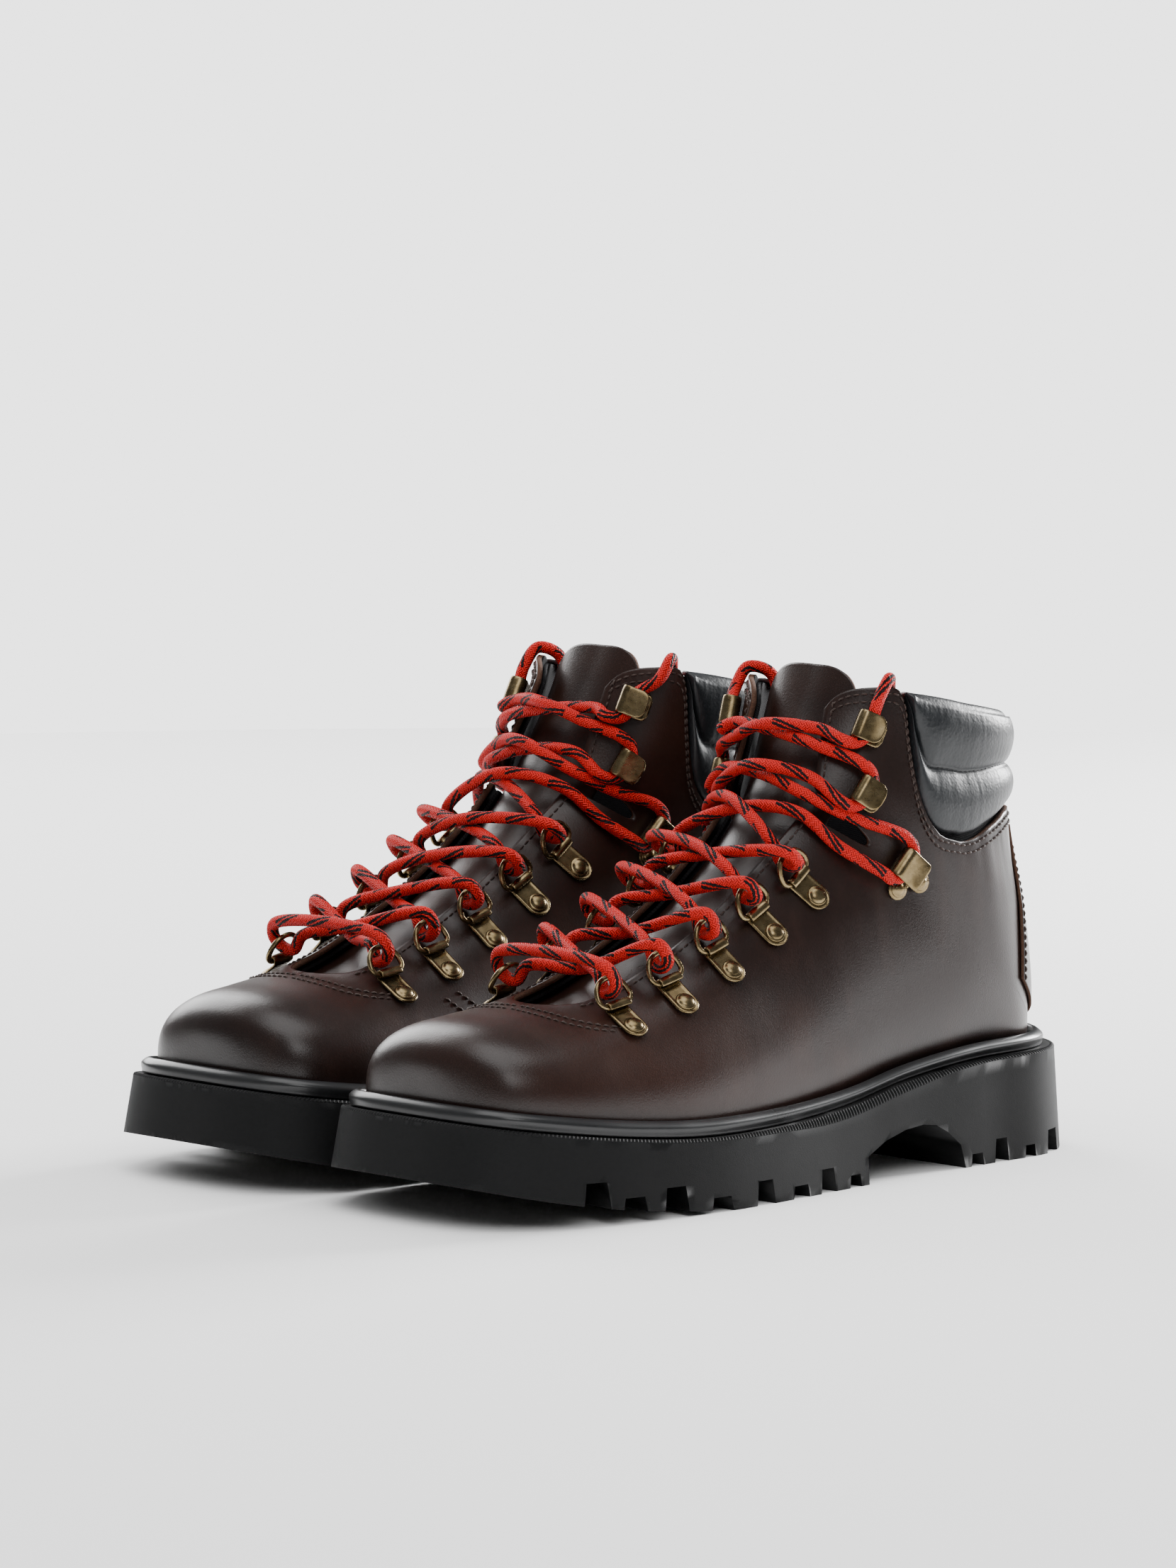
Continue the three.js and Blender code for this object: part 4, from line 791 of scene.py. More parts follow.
def collar_section(turn):
    """Closed section of (v, offset): lower roll, seam, upper roll, over the top and back down
    behind. A roll stands off by its fullness times sin(pi * share)^0.6."""
    low, seam, top = leather_top(turn) + 0.006, collar_seam(turn), collar_top(turn)
    room = np.clip((top - low) / 0.05, 0, 1)
    seam = np.clip(seam, low + 0.3 * (top - low), low + 0.7 * (top - low))
    rows = []
    s = np.linspace(0, 1, 18)[:, None]
    fat = 3.7 * room
    rows.append((low + (seam - low) * s, -1.2 + fat * np.sin(np.pi * s) ** 0.6 + s * 0.4 * room
                 + puckers(turn, s) * room * np.sin(np.pi * s) ** 0.3))
    s = np.linspace(0.04, 0.86, 18)[:, None]
    rows.append((seam + (top - seam) * s, -0.8 + (fat + 0.3) * np.sin(np.pi * s) ** 0.6
                 + puckers(turn, s) * room * np.sin(np.pi * s) ** 0.3))
    a = np.linspace(0.12, 1.0, 12)[:, None] * np.pi
    rows.append((top - 0.011 * room + 0.017 * room * np.sin(a) - 0.006 * room,
                 -3.0 + (2.0 + 1.6 * room) * np.cos(a)))
    off_leather = np.stack([-6.2 + 0 * low, -3.1 + 0 * low, -3.1 + 0 * low])
    rows.append((np.stack([top - 0.0105, top - 0.0105, low]), off_leather))
    v = np.vstack([r[0] for r in rows])
    return v, np.vstack([np.broadcast_to(r[1], r[0].shape) for r in rows])


def collar():
    v, off = collar_section(COLLAR_TURNS)
    low = leather_top(COLLAR_TURNS) + 0.006
    v = np.maximum(v, low)
    points, faces, start = [], [], 0
    for side in (1, -1):
        away = last_normal(COLLAR_TURNS, np.minimum(v, 0.994), side)
        p = last(COLLAR_TURNS, v, side) + away * off[..., None]
        points.append(p.reshape(-1, 3))
        quads = grid_faces(*v.shape, start, wrap_rows=True)
        faces.append(quads if side > 0 else quads[:, ::-1])
        start += v.size
    points, faces = np.concatenate(points), np.concatenate(faces)
    _, first, joined = np.unique(np.round(points / 0.02), axis=0, return_index=True, return_inverse=True)
    faces = joined.reshape(-1)[faces]
    rows, columns = v.shape
    caps = []
    for part in (0, 1):
        ring = joined.reshape(2, rows, columns)[part, :, -1]
        centre = len(first) + part
        caps.append(np.stack([ring, np.roll(ring, -1), np.full(rows, centre), np.full(rows, centre)], 1)
                    [:, ::(1 if part else -1)])
    ends = [points.reshape(2, rows, columns, 3)[part, :, -1].mean(0) for part in (0, 1)]
    return to_frame(np.vstack([points[first], ends])), np.concatenate([faces] + caps)


points, faces = collar()
collars = pair("padded_collar", points, faces, [BLACK], "collar_pad", "black_leather")
print("collar:", len(faces), "faces a boot")

# %% [markdown]
# ## Sole and welt
# The sole is one block of rubber that follows the boot's outline some way outside it, wider
# at the tread than at its top edge. Tread notches and the arch in front of the heel are cut
# away as a mould would leave them, and the cut edges are softened. Round the top runs a
# narrow ribbed slope, and on it sits the rounded storm welt.

# %% Outline of the sole
OUTLINE_ROWS = np.unique(np.concatenate([np.linspace(0, 1, 26) ** 2.2 * 0.06, np.linspace(0.06, 0.6, 70),
                                         HEEL_V - (HEEL_V - 0.6) * np.linspace(1, 0, 34) ** 1.8]))


def tread_rise(f):
    return 17 * (np.maximum(0, f - 175) / 131) ** 2 + 1.5 * np.maximum(0, 1 - f / 18) ** 2


def feather_loop(distance, height, lift=0.0):
    """The outline of the last a lift above the sole, moved out in plan by a distance."""
    stretch = heel_v(lift) / HEEL_V
    v = OUTLINE_ROWS * stretch
    sides = [last(feather_turn(v, side, lift), v, side) for side in (1, -1)]
    loop = np.vstack([sides[0], sides[1][1:-1][::-1]])
    ahead = np.roll(loop, -1, 0) - np.roll(loop, 1, 0)
    ahead = ahead[:, :2] / np.linalg.norm(ahead[:, :2], axis=1, keepdims=True)
    out = np.stack([-ahead[:, 1], ahead[:, 0]], 1)
    kernel = np.array([1, 2, 3, 2, 1]) / 9
    out = sum(k * np.roll(out, i - 2, 0) for i, k in enumerate(kernel))
    out /= np.linalg.norm(out, axis=1, keepdims=True)
    reach = distance(out) if callable(distance) else distance
    moved = loop.copy()
    moved[:, :2] += out * np.reshape(reach, (-1, 1))
    moved[:, 2] = height(moved[:, 1])
    return moved


def edge_ledge(out):
    return 9.5 + 1.8 * np.maximum(0, -out[:, 1])


def tread_ledge(out):
    return edge_ledge(out) + 1.5 + 2.6 * np.maximum(0, out[:, 1]) + np.maximum(0, -out[:, 1])


CHAMFER = curve((0, 1), (60, 1.2), (100, 3), (140, 3.2), (170, 1.6), (220, 1), (310, 1))
tread_line = feather_loop(tread_ledge, tread_rise)
edge_line = feather_loop(edge_ledge, lambda f: sole_top(f) - CHAMFER(f))
brow_line = feather_loop(lambda out: edge_ledge(out) - 1.6, sole_top)
print("tread length:", round(float(np.ptp(tread_line[:, 1])), 1), "mm")

# %% Block of the sole
COUNT = len(OUTLINE_ROWS)


def halves(loop):
    """Lateral and medial runs of a loop, toe to heel, with both ends shared."""
    return loop[:COUNT], np.vstack([loop[:1], loop[COUNT:][::-1], loop[COUNT - 1:COUNT]])


def sole_block():
    """Stations from toe to heel; each one is a closed ring of bottom, wall, top and wall."""
    tread, edge, brow = halves(tread_line), halves(edge_line), halves(brow_line)
    rings = []
    inner = [t + (b - t) * [[0.0, 0.0, 0]] for t, b in zip(tread, edge)]
    across = np.linspace(0, 1, 9)[1:-1]
    rings += [inner[1] + (inner[0] - inner[1]) * a for a in across]
    for t in np.linspace(0, 1, 9):
        rings.append(tread[0] + (edge[0] - tread[0]) * t)
    rings.append(brow[0])
    for a in across:
        top = brow[0] + (brow[1] - brow[0]) * a
        top[:, 2] = sole_top(top[:, 1])
        rings.append(top)
    rings.append(brow[1])
    for t in np.linspace(0, 1, 9):
        rings.append(edge[1] + (tread[1] - edge[1]) * t)
    return np.array(rings)


def joined_surface(points, faces, grain=0.01):
    """Points closer than a hundredth of a millimetre become one; unused ones are dropped."""
    _, first, back_to = np.unique(np.round(points / grain), axis=0, return_index=True, return_inverse=True)
    faces = back_to.reshape(-1)[faces]
    same = np.stack([faces[:, k] == faces[:, (k + 1) % 4] for k in range(4)], 1)
    faces = faces[same.sum(1) <= 1]
    used, again = np.unique(faces, return_inverse=True)
    return points[first][used], again.reshape(faces.shape)


def box_mesh(corners):
    """Six quads, for a box given by 8 corners."""
    order = np.array([[0, 1, 3, 2], [4, 6, 7, 5], [0, 4, 5, 1], [2, 3, 7, 6], [0, 2, 6, 4], [1, 5, 7, 3]])
    return corners, order


NOTCHES = [(18, 9, 1), (33.5, 6, 0), (47, 7, 1), (60.5, 7, 0), (130.3, 6.5, 0), (145, 8, 1), (160.5, 9, 0),
           (180, 9, 1), (201.5, 10, 0), (222.5, 10, 1), (243, 10, 0), (258, 10, 1)]
ARCH = [(122, -6), (122, 10), (112, 14.5), (101, 17.2), (91, 18),
        (84, 17), (78, 14), (71, 8.6), (68.5, 0), (68.5, -6)]


def cutters():
    """Boxes at the notches, square to the outline, and one prism at the arch."""
    points, faces, start = [], [], 0
    sign = np.array([[x, y, z] for x in (-1, 1) for y in (-1, 1) for z in (0, 1)], float)
    for run in halves(tread_line):
        for f, width, deep in NOTCHES:
            i = int(np.argmin(np.abs(run[:, 1] - f)))
            ahead = run[min(i + 2, COUNT - 1)] - run[max(i - 2, 0)]
            ahead = ahead / np.linalg.norm(ahead) * [1, 1, 0]
            aside = np.array([-ahead[1], ahead[0], 0])
            height = 8.5 if deep else 4.5
            taper = np.where(sign[:, 2] > 0, 0.42, 0.62)[:, None]
            p = run[i] + ahead * sign[:, :1] * width * taper + aside * sign[:, 1:2] * 18
            p[:, 2] = run[i][2] - 5 + sign[:, 2] * (height + 5)
            corners, order = box_mesh(to_frame(p))
            order = outward(corners, order)
            points.append(corners)
            faces += [[start + k for k in q] for q in order.tolist()]
            start += 8
    ring = np.array(ARCH, float)
    for x in (-80, 80):
        points.append(to_frame(np.column_stack([np.full(len(ring), float(x)), ring[:, 0], ring[:, 1]])))
    n = len(ring)
    sides = [[start + k, start + (k + 1) % n, start + n + (k + 1) % n, start + n + k] for k in range(n)]
    faces += sides + [[start + k for k in range(n)][::-1], [start + n + k for k in range(n)]]
    return np.vstack(points), faces


def applied(o):
    """The object's mesh with its modifiers applied, as a new mesh."""
    bpy.context.view_layer.update()
    shaped = bpy.data.meshes.new_from_object(o.evaluated_get(bpy.context.evaluated_depsgraph_get()))
    return shaped


def cut_sole():
    rings = sole_block()
    points, faces = joined_surface(rings.reshape(-1, 3), grid_faces(len(rings), COUNT, wrap_rows=True))
    points = to_frame(points)
    block = bpy.data.objects.new("block", make_mesh("block", points, outward(points, faces), [RUBBER]))
    tool_points, tool_faces = cutters()
    tool_mesh = bpy.data.meshes.new("cutters")
    tool_mesh.from_pydata((tool_points / 1000).tolist(), [], tool_faces)
    tidy = bmesh.new()
    tidy.from_mesh(tool_mesh)
    bmesh.ops.recalc_face_normals(tidy, faces=tidy.faces[:])
    tidy.to_mesh(tool_mesh)
    tidy.free()
    tool = bpy.data.objects.new("cutters", tool_mesh)
    for o in (block, tool):
        bpy.context.scene.collection.objects.link(o)
    cut = block.modifiers.new("cut", "BOOLEAN")
    cut.object, cut.operation, cut.solver = tool, "DIFFERENCE", "EXACT"
    soften = block.modifiers.new("soften", "BEVEL")
    soften.width, soften.segments, soften.limit_method = 0.0007, 2, "ANGLE"
    soften.angle_limit = math.radians(38)
    mesh = applied(block)
    for o in (block, tool):
        bpy.data.objects.remove(o)
    mesh.shade_smooth()
    return mesh


def place_pair(name, mesh, node=None, slot=None):
    """The mesh for the left boot and its mirror for the right, normals turned to match."""
    other = mesh.copy()
    flip = bmesh.new()
    flip.from_mesh(other)
    for vert in flip.verts:
        vert.co.x *= -1
    bmesh.ops.reverse_faces(flip, faces=flip.faces[:])
    flip.to_mesh(other)
    flip.free()
    return [place(f"{boot}_{name}", m, f"{boot}_boot", [f"{boot}_{node}"] if node else (), slot)
            for boot, m in (("left", mesh), ("right", other))]


sole_mesh = cut_sole()
place_pair("rubber_sole", sole_mesh, "outsole", "rubber")
print("sole:", len(sole_mesh.polygons), "faces a boot")

# %% Ribbed edge of the sole


def resampled(loop, count):
    """The closed loop at equal steps of length."""
    closed = np.vstack([loop, loop[:1]])
    run = np.concatenate([[0], np.cumsum(np.linalg.norm(np.diff(closed, axis=0), axis=1))])
    at = np.linspace(0, run[-1], count, endpoint=False)
    return np.stack([np.interp(at, run, closed[:, k]) for k in range(3)], 1), run[-1]


def ribs():
    """A strip on the slope between the sole's edge and brow, raised by a squared sine of the
    distance round the sole."""
    count = 3400
    edge, length = resampled(edge_line, count)
    brow, _ = resampled(brow_line, count)
    phase = np.arange(count) / count * round(length / 1.55) * np.pi
    tooth = (np.sin(phase) ** 2)[:, None]
    out = np.cross(np.roll(edge, -1, 0) - np.roll(edge, 1, 0), brow - edge)
    out /= np.linalg.norm(out, axis=1, keepdims=True)
    out *= np.where(out[:, 2:] < 0, -1, 1)
    rows = [edge - out * 0.5, edge + out * 0.1]
    rows += [edge + (brow - edge) * s + out * (0.12 + 0.5 * tooth * math.sin(math.pi * s) ** 0.5)
             for s in (0.15, 0.4, 0.65, 0.88)]
    rows += [brow + out * 0.1, brow - out * 0.5]
    grid = np.array(rows)
    return to_frame(grid.reshape(-1, 3)), grid_faces(len(rows), count, wrap_rows=True, wrap_columns=True)


points, faces = ribs()
pair("sole_ribs", points, faces, [RUBBER], None, "rubber")

# %% Storm welt
WELT_SECTION = [(0.4, 0, 0), (0.5, 1.5, 1.5), (1, 2, 2), (1.9, 1.3, 2), (2.1, 0.4, 0), (1.9, 0, 0)]
BEAD = 2.9


WELT_STATIONS = 420


def welt():
    """Six outlines at their places in the section, and a smooth closed curve through the six
    at every station."""
    loops = []
    for out, rise, lift in WELT_SECTION:
        loop = feather_loop(GAP + out * BEAD, lambda f: sole_top(f) + GAP + 0.1 + rise * BEAD, lift * BEAD)
        loops.append(resampled(loop, WELT_STATIONS)[0])
    loops = np.array(loops)
    n = len(loops)
    t = np.linspace(0, n, 24, endpoint=False)
    i, s = np.floor(t).astype(int), (t - np.floor(t))[:, None, None]
    a, b, c, d = loops[(i - 1) % n], loops[i], loops[(i + 1) % n], loops[(i + 2) % n]
    grid = 0.5 * (2 * b + (c - a) * s + (2 * a - 5 * b + 4 * c - d) * s**2 + (3 * b - a - 3 * c + d) * s**3)
    return to_frame(grid.reshape(-1, 3)), grid_faces(len(t), 420, wrap_rows=True, wrap_columns=True)


points, faces = welt()
pair("welt_bead", points, faces, [WELT_RUBBER], "storm_welt", "welt_rubber")
print("welt:", len(faces), "faces a boot")

# %% [markdown]
# ## Metal
# Each clip is a plate riveted to the leather and rolled round the straight bar of its
# D-ring. The two hooks near the top are curved tabs, and the one at the ankle is a folded
# hook held by two round lobes. All of them are bent strips: a rounded section carried along
# a bent line in the frame of a seat on the leather.

# %% Seats
SIDES = {"lateral": 1, "medial": -1}
D_ROW = [(0.745, 0.323), (0.741, 0.379), (0.735, 0.434), (0.729, 0.49), (0.717, 0.548)]
LOCK_PLACE = {1: (0.622, 0.668), -1: (0.648, 0.66)}
HOOK_PLACES = {1: [(0.728, 0.733), (0.745, 0.855)], -1: [(0.745, 0.733), (0.78, 0.855)]}
PLATE_LIFT, METAL, BARREL, RIVET_BACK, TILT = 0.9, 1.0, 2.2, 9.5, math.radians(30)
BARREL_HEIGHT, REACH = PLATE_LIFT + BARREL, 10.5


def unit(vector):
    return vector / np.linalg.norm(vector)


class Seat:
    """Origin on the leather, u towards the throat, n outwards, w along the facing, upwards."""

    def __init__(self, origin, u, n, side):
        self.origin, self.u, self.n, self.side = origin, u, n, side
        self.w = np.cross(u, n) * side

    def at(self, u, n, w):
        u, n, w = np.broadcast_arrays(np.asarray(u, float), np.asarray(n, float), np.asarray(w, float))
        return self.origin + u[..., None] * self.u + n[..., None] * self.n + w[..., None] * self.w


def leather_seat(turn, v, side):
    origin = to_frame(last(turn, v, side))
    n = unit(to_frame(off_last(turn, v, side, 1.0)) - origin)
    u = to_frame(last(turn + 0.03, v, side)) - origin
    return Seat(origin, unit(u - n * (u @ n)), n, side)


def clip_seat(k, side):
    turn, v = D_ROW[k]
    rivet = leather_seat(turn, v, side)
    barrel = to_frame(last(turn + RIVET_BACK / math.pi / 48.5 * 1.18, v, side))
    u = unit(barrel - rivet.origin)
    n = unit(rivet.n - u * (rivet.n @ u))
    return Seat(rivet.origin + u * RIVET_BACK, u, n, side)


print("ring seats:", len(D_ROW) * 2, "a boot")

# %% Bent strips, rivets and rings


def capped(sections, seat):
    """Sections of equal counts, closed at both ends by a fan to the middle."""
    rows, count = sections.shape[:2]
    points = np.vstack([sections.reshape(-1, 3), sections[0].mean(0), sections[-1].mean(0)])
    ring = np.arange(count)
    first = np.stack([np.roll(ring, -1), ring, np.full(count, rows * count), np.full(count, rows * count)], 1)
    end = (rows - 1) * count
    final = np.stack([end + ring, end + np.roll(ring, -1), np.full(count, rows * count + 1),
                      np.full(count, rows * count + 1)], 1)
    faces = np.concatenate([grid_faces(rows, count, wrap_columns=True), first, final])
    return points, outward(points, faces)


def bent_strip(seat, line, half_width, thick, rim=0.0):
    """A rounded flat section along a line of (u, n), with a half width at each station. The
    rim raises the section near its edges."""
    line, half_width = np.asarray(line, float), np.asarray(half_width, float)
    ahead = np.gradient(line, axis=0)
    ahead /= np.linalg.norm(ahead, axis=1, keepdims=True)
    up_line = np.stack([-ahead[:, 1], ahead[:, 0]], 1)
    a = np.linspace(0, 2 * np.pi, 36, endpoint=False)
    w = np.sign(np.cos(a)) * np.abs(np.cos(a)) ** 0.5
    t = np.sign(np.sin(a)) * np.abs(np.sin(a)) ** 0.5 * thick / 2
    edge = np.clip((half_width[:, None] * (1 - np.abs(w))) / 1.5, 0, 1)
    raised = rim * np.exp(-((edge - 0.45) / 0.35) ** 2) * np.clip(half_width[:, None] / 2, 0, 1)
    t = np.where(t > 0, t + raised, t)
    u = line[:, :1] + up_line[:, :1] * t
    n = line[:, 1:] + up_line[:, 1:] * t
    return capped(seat.at(u, n, half_width[:, None] * w), seat)


def turned(seat, u, w, profile, count=28):
    """A profile of (radius, height) turned round the seat's n at a place."""
    profile = np.array(profile, float)
    a = np.linspace(0, 2 * np.pi, count, endpoint=False)
    r, h = profile[:, :1], profile[:, 1:] + 0 * a
    grid = seat.at(u + r * np.cos(a), h, w + r * np.sin(a))
    return capped(grid, seat)


def merged(parts):
    points, faces, start = [], [], 0
    for p, f in parts:
        points.append(p)
        faces.append(f + start)
        start += len(p)
    return np.vstack(points), np.concatenate(faces)


def rivet(seat, u, w, base, radius=3.7):
    r = radius
    return turned(seat, u, w, [(r * 0.9, base - 0.3), (r, base), (r, base + 0.35), (r * 0.93, base + 0.62),
                               (r * 0.84, base + 0.68), (r * 0.8, base + 0.72), (r * 0.72, base + 1.05),
                               (r * 0.52, base + 1.42), (r * 0.28, base + 1.62), (r * 0.06, base + 1.68)])


def round_ended(distance, width, radius):
    """Half width near a rounded end: a quarter circle over the radius, then constant."""
    d = np.clip(distance / radius, 0, 1)
    return np.maximum(0.12, width - radius + radius * np.sqrt(1 - (1 - d) ** 2))


CLIP_HALF_WIDTH, CLIP_THICK, CLIP_RIM, ROLL_RADIUS, TAIL = 4.75, 0.85, 0.32, 1.75, 5
HOOK_WIDTH, HOOK_TAB, ANKLE_HOOK_WIDTH, ANKLE_HOOK_TAB = 10.5, 10, 11.5, 11
ANKLE_LOBES = [(-8, 0), (-2, -7.6)]


def clip(seat):
    """Tail with a round end, a plate, and a roll round the ring's bar."""
    bend = np.linspace(-np.pi / 2, np.pi * 0.85, 22)
    flat = -RIVET_BACK - TAIL + (RIVET_BACK + TAIL) * (1 - np.cos(np.linspace(0, np.pi / 2, 26)))
    line = np.vstack([np.stack([flat[:-1], np.full(25, PLATE_LIFT + 0.45)], 1),
                      np.stack([ROLL_RADIUS * np.cos(bend), BARREL_HEIGHT + ROLL_RADIUS * np.sin(bend)], 1)])
    width = round_ended(line[:, 0] + RIVET_BACK + TAIL, CLIP_HALF_WIDTH, CLIP_HALF_WIDTH)
    width[25:] = CLIP_HALF_WIDTH
    strip = bent_strip(seat, line, width, CLIP_THICK, CLIP_RIM)
    return merged([strip, rivet(seat, -RIVET_BACK, 0, PLATE_LIFT + METAL - 0.15)])


def ring(seat):
    """A round wire along a closed line: the bar, two tight corners and the bow."""
    a = np.linspace(0, np.pi, 60)
    bow = np.stack([7 * np.cos(a), 1.6 + (REACH - 1.6) * np.sin(a) ** 0.8], 1)
    line = np.vstack([[(x, 0.0) for x in np.linspace(-5.3, 5.3, 12)], bow])
    for _ in range(3):
        line = (np.roll(line, 1, 0) + 2 * line + np.roll(line, -1, 0)) / 4
    ahead = np.roll(line, -1, 0) - np.roll(line, 1, 0)
    ahead /= np.linalg.norm(ahead, axis=1, keepdims=True)
    along = seat.u * math.cos(TILT) + seat.n * math.sin(TILT)
    square = -seat.u * math.sin(TILT) + seat.n * math.cos(TILT)
    centre = seat.at(0, BARREL_HEIGHT, 0)
    a = np.linspace(0, 2 * np.pi, 14, endpoint=False)[None, :, None]
    flat = line[:, None, :1] * seat.w + line[:, None, 1:] * along
    outwards = ahead[:, None, 1:] * seat.w - ahead[:, None, :1] * along
    grid = centre + flat + outwards * np.cos(a) + square * np.sin(a)
    return grid.reshape(-1, 3), grid_faces(len(line), 14, wrap_rows=True, wrap_columns=True)


def hook_line(tab):
    """Foot, a bend towards the throat and a slightly arched tab, as (u, n)."""
    low, high = PLATE_LIFT + 0.5, PLATE_LIFT + 2 * METAL + 5 - 0.5
    bend = np.linspace(-np.pi / 2, np.pi / 2, 20)
    middle, radius = (low + high) / 2, (high - low) / 2
    foot = np.stack([np.linspace(-6, 3.0, 12)[:-1], np.full(11, low)], 1)
    turn = np.stack([3.0 + 2.5 * np.cos(bend), middle + radius * np.sin(bend)], 1)
    s = np.linspace(0, 1, 16)[1:]
    top = np.stack([3.0 - (tab - 2) * s, high - 0.3 * np.sin(np.pi * s) - 0.25 * s**3], 1)
    return np.vstack([foot, turn, top])


def hook(seat, width, tab, lobes=()):
    line = hook_line(tab)
    run = np.concatenate([[0], np.cumsum(np.linalg.norm(np.diff(line, axis=0), axis=1))])
    half = round_ended(run[-1] - run, width / 2, 3.6 if not len(lobes) else 1.6)
    half = np.minimum(half, round_ended(run, width / 2, 2.5))
    parts = [bent_strip(seat, line, half, 1.0, 0.12), rivet(seat, -3, 0, PLATE_LIFT + METAL - 0.1, 2.4)]
    for u, w in lobes:
        edge = [(3.6, 0.55), (3.95, 0.85), (3.95, 1.35), (3.7, 1.65), (0.1, 1.7)]
        parts.append(turned(seat, u, w, [(r, PLATE_LIFT + rise) for r, rise in edge]))
        parts.append(rivet(seat, u, w, PLATE_LIFT + METAL + 0.5, 3.0))
    return merged(parts)


for name, side in SIDES.items():
    pair(f"{name}_clips", *merged([clip(clip_seat(k, side)) for k in range(5)]), [BRASS],
         f"{name}_ring_clips", "antique_brass", oriented=True)
    for k in range(5):
        piece = f"{name}_d_ring_{k + 1}"
        pair(f"{name}_ring_{k + 1}", *ring(clip_seat(k, side)), [BRASS], piece, "antique_brass", bodies=piece)
    for k in range(2):
        piece = f"{name}_speed_hook_{k + 1}"
        points, faces = hook(leather_seat(*HOOK_PLACES[side][k], side), HOOK_WIDTH, HOOK_TAB)
        pair(f"{name}_hook_{k + 1}", points, faces, [BRASS], piece, "antique_brass", oriented=True)
    ankle = leather_seat(*LOCK_PLACE[side], side)
    pair(f"{name}_ankle_hook", *hook(ankle, ANKLE_HOOK_WIDTH, ANKLE_HOOK_TAB, ANKLE_LOBES),
         [BRASS], f"{name}_lock_hook", "antique_brass", oriented=True)
print("metal pieces:", 2 * 2 * 9)

# %% [markdown]
# ## Laces
# A round braided lace runs from the lowest rings to the top hooks, crossing over the tongue
# at each step, and both free ends are tucked inside the boot. The route is a list of points
# in the frames of the rings and hooks, with a smooth curve through it, and the tube round it
# carries its own coordinates so that the braid winds with it.

# %% Route of a lace
RING_WRAP = [(2.4, 5.2, -1.6), (-3.4, 5.0, -0.5), (-5.3, 0, 0), (-3.6, -4.6, 0.5), (2.8, -5.6, 2.2)]
HOOK_WRAP = [(8.5, 5.8, -8), (3.6, 4.7, -7.1), (0.6, 4.5, -3.2),
             (0.6, 4.5, 3.2), (3.6, 4.5, 7.1), (8.5, 4.4, 8)]
OVER, UNDER, SHAFT_OVER, SHAFT_UNDER, STRAND_LIFT, LACE = 7.4, 3.1, 6.2, 0.6, 3.15, 2.25
TAIL = [(0.735, 0.92, 4.2), (0.715, 0.972, 1), (0.695, 0.965, -7), (0.66, 0.9, -11), (0.63, 0.82, -11),
        (0.6, 0.74, -11.5), (0.56, 0.65, -12)]
TAIL_ON_BED = [(16, 96), (14, 126), (16, 158), (12, 190), (15, 222), (10, 246)]


def off(turn, v, side, lift):
    return [to_frame(off_last(turn, v, side, lift))]


def ring_stop(k, side):
    s = clip_seat(k, side)
    along = s.u * math.cos(TILT) + s.n * math.sin(TILT)
    square = -s.u * math.sin(TILT) + s.n * math.cos(TILT)
    crown = s.at(0, BARREL_HEIGHT, 0) + along * REACH
    return [crown + along * a + square * q + s.w * w for a, q, w in RING_WRAP]


def hook_stop(seat):
    return [seat.at(*place_) for place_ in HOOK_WRAP]


def tail(side):
    inside = [to_frame(off_last(turn, v, side, lift)) for turn, v, lift in TAIL]
    lift = 2 * GAP + 2 + 3.5 + 2.5 * GAP + LACE
    return inside + [to_frame(np.array([side * x - 2, f, float(sole_top(f)) + lift])) for x, f in TAIL_ON_BED]


def shaft_crossing(low, middle, high, side, over):
    return (off(0.87, low, side, STRAND_LIFT) + off(1.0, middle, 1, SHAFT_OVER if over else SHAFT_UNDER)
            + off(0.87, high, -side, STRAND_LIFT))


def climb(side):
    points, now = [], side
    for k, (_, v) in enumerate(D_ROW):
        points += ring_stop(k, now)
        above = D_ROW[k + 1][1] if k < 4 else LOCK_PLACE[side][1]
        points += off(1.0, (v + above) / 2, 1, OVER if (k % 2 == 0) == (side > 0) else UNDER)
        now = -now
    points += off(0.86, 0.628, now, STRAND_LIFT + 0.6) + off(0.75, 0.618, now, STRAND_LIFT)
    points += hook_stop(leather_seat(*LOCK_PLACE[now], now)) + off(0.76, 0.677, now, STRAND_LIFT)
    points += shaft_crossing(0.668, 0.69, 0.706, now, side > 0)
    now = -now
    points += hook_stop(leather_seat(*HOOK_PLACES[now][0], now))
    points += shaft_crossing(0.778, 0.797, 0.816, now, side < 0)
    now = -now
    return points + hook_stop(leather_seat(*HOOK_PLACES[now][1], now))[:4] + tail(now)


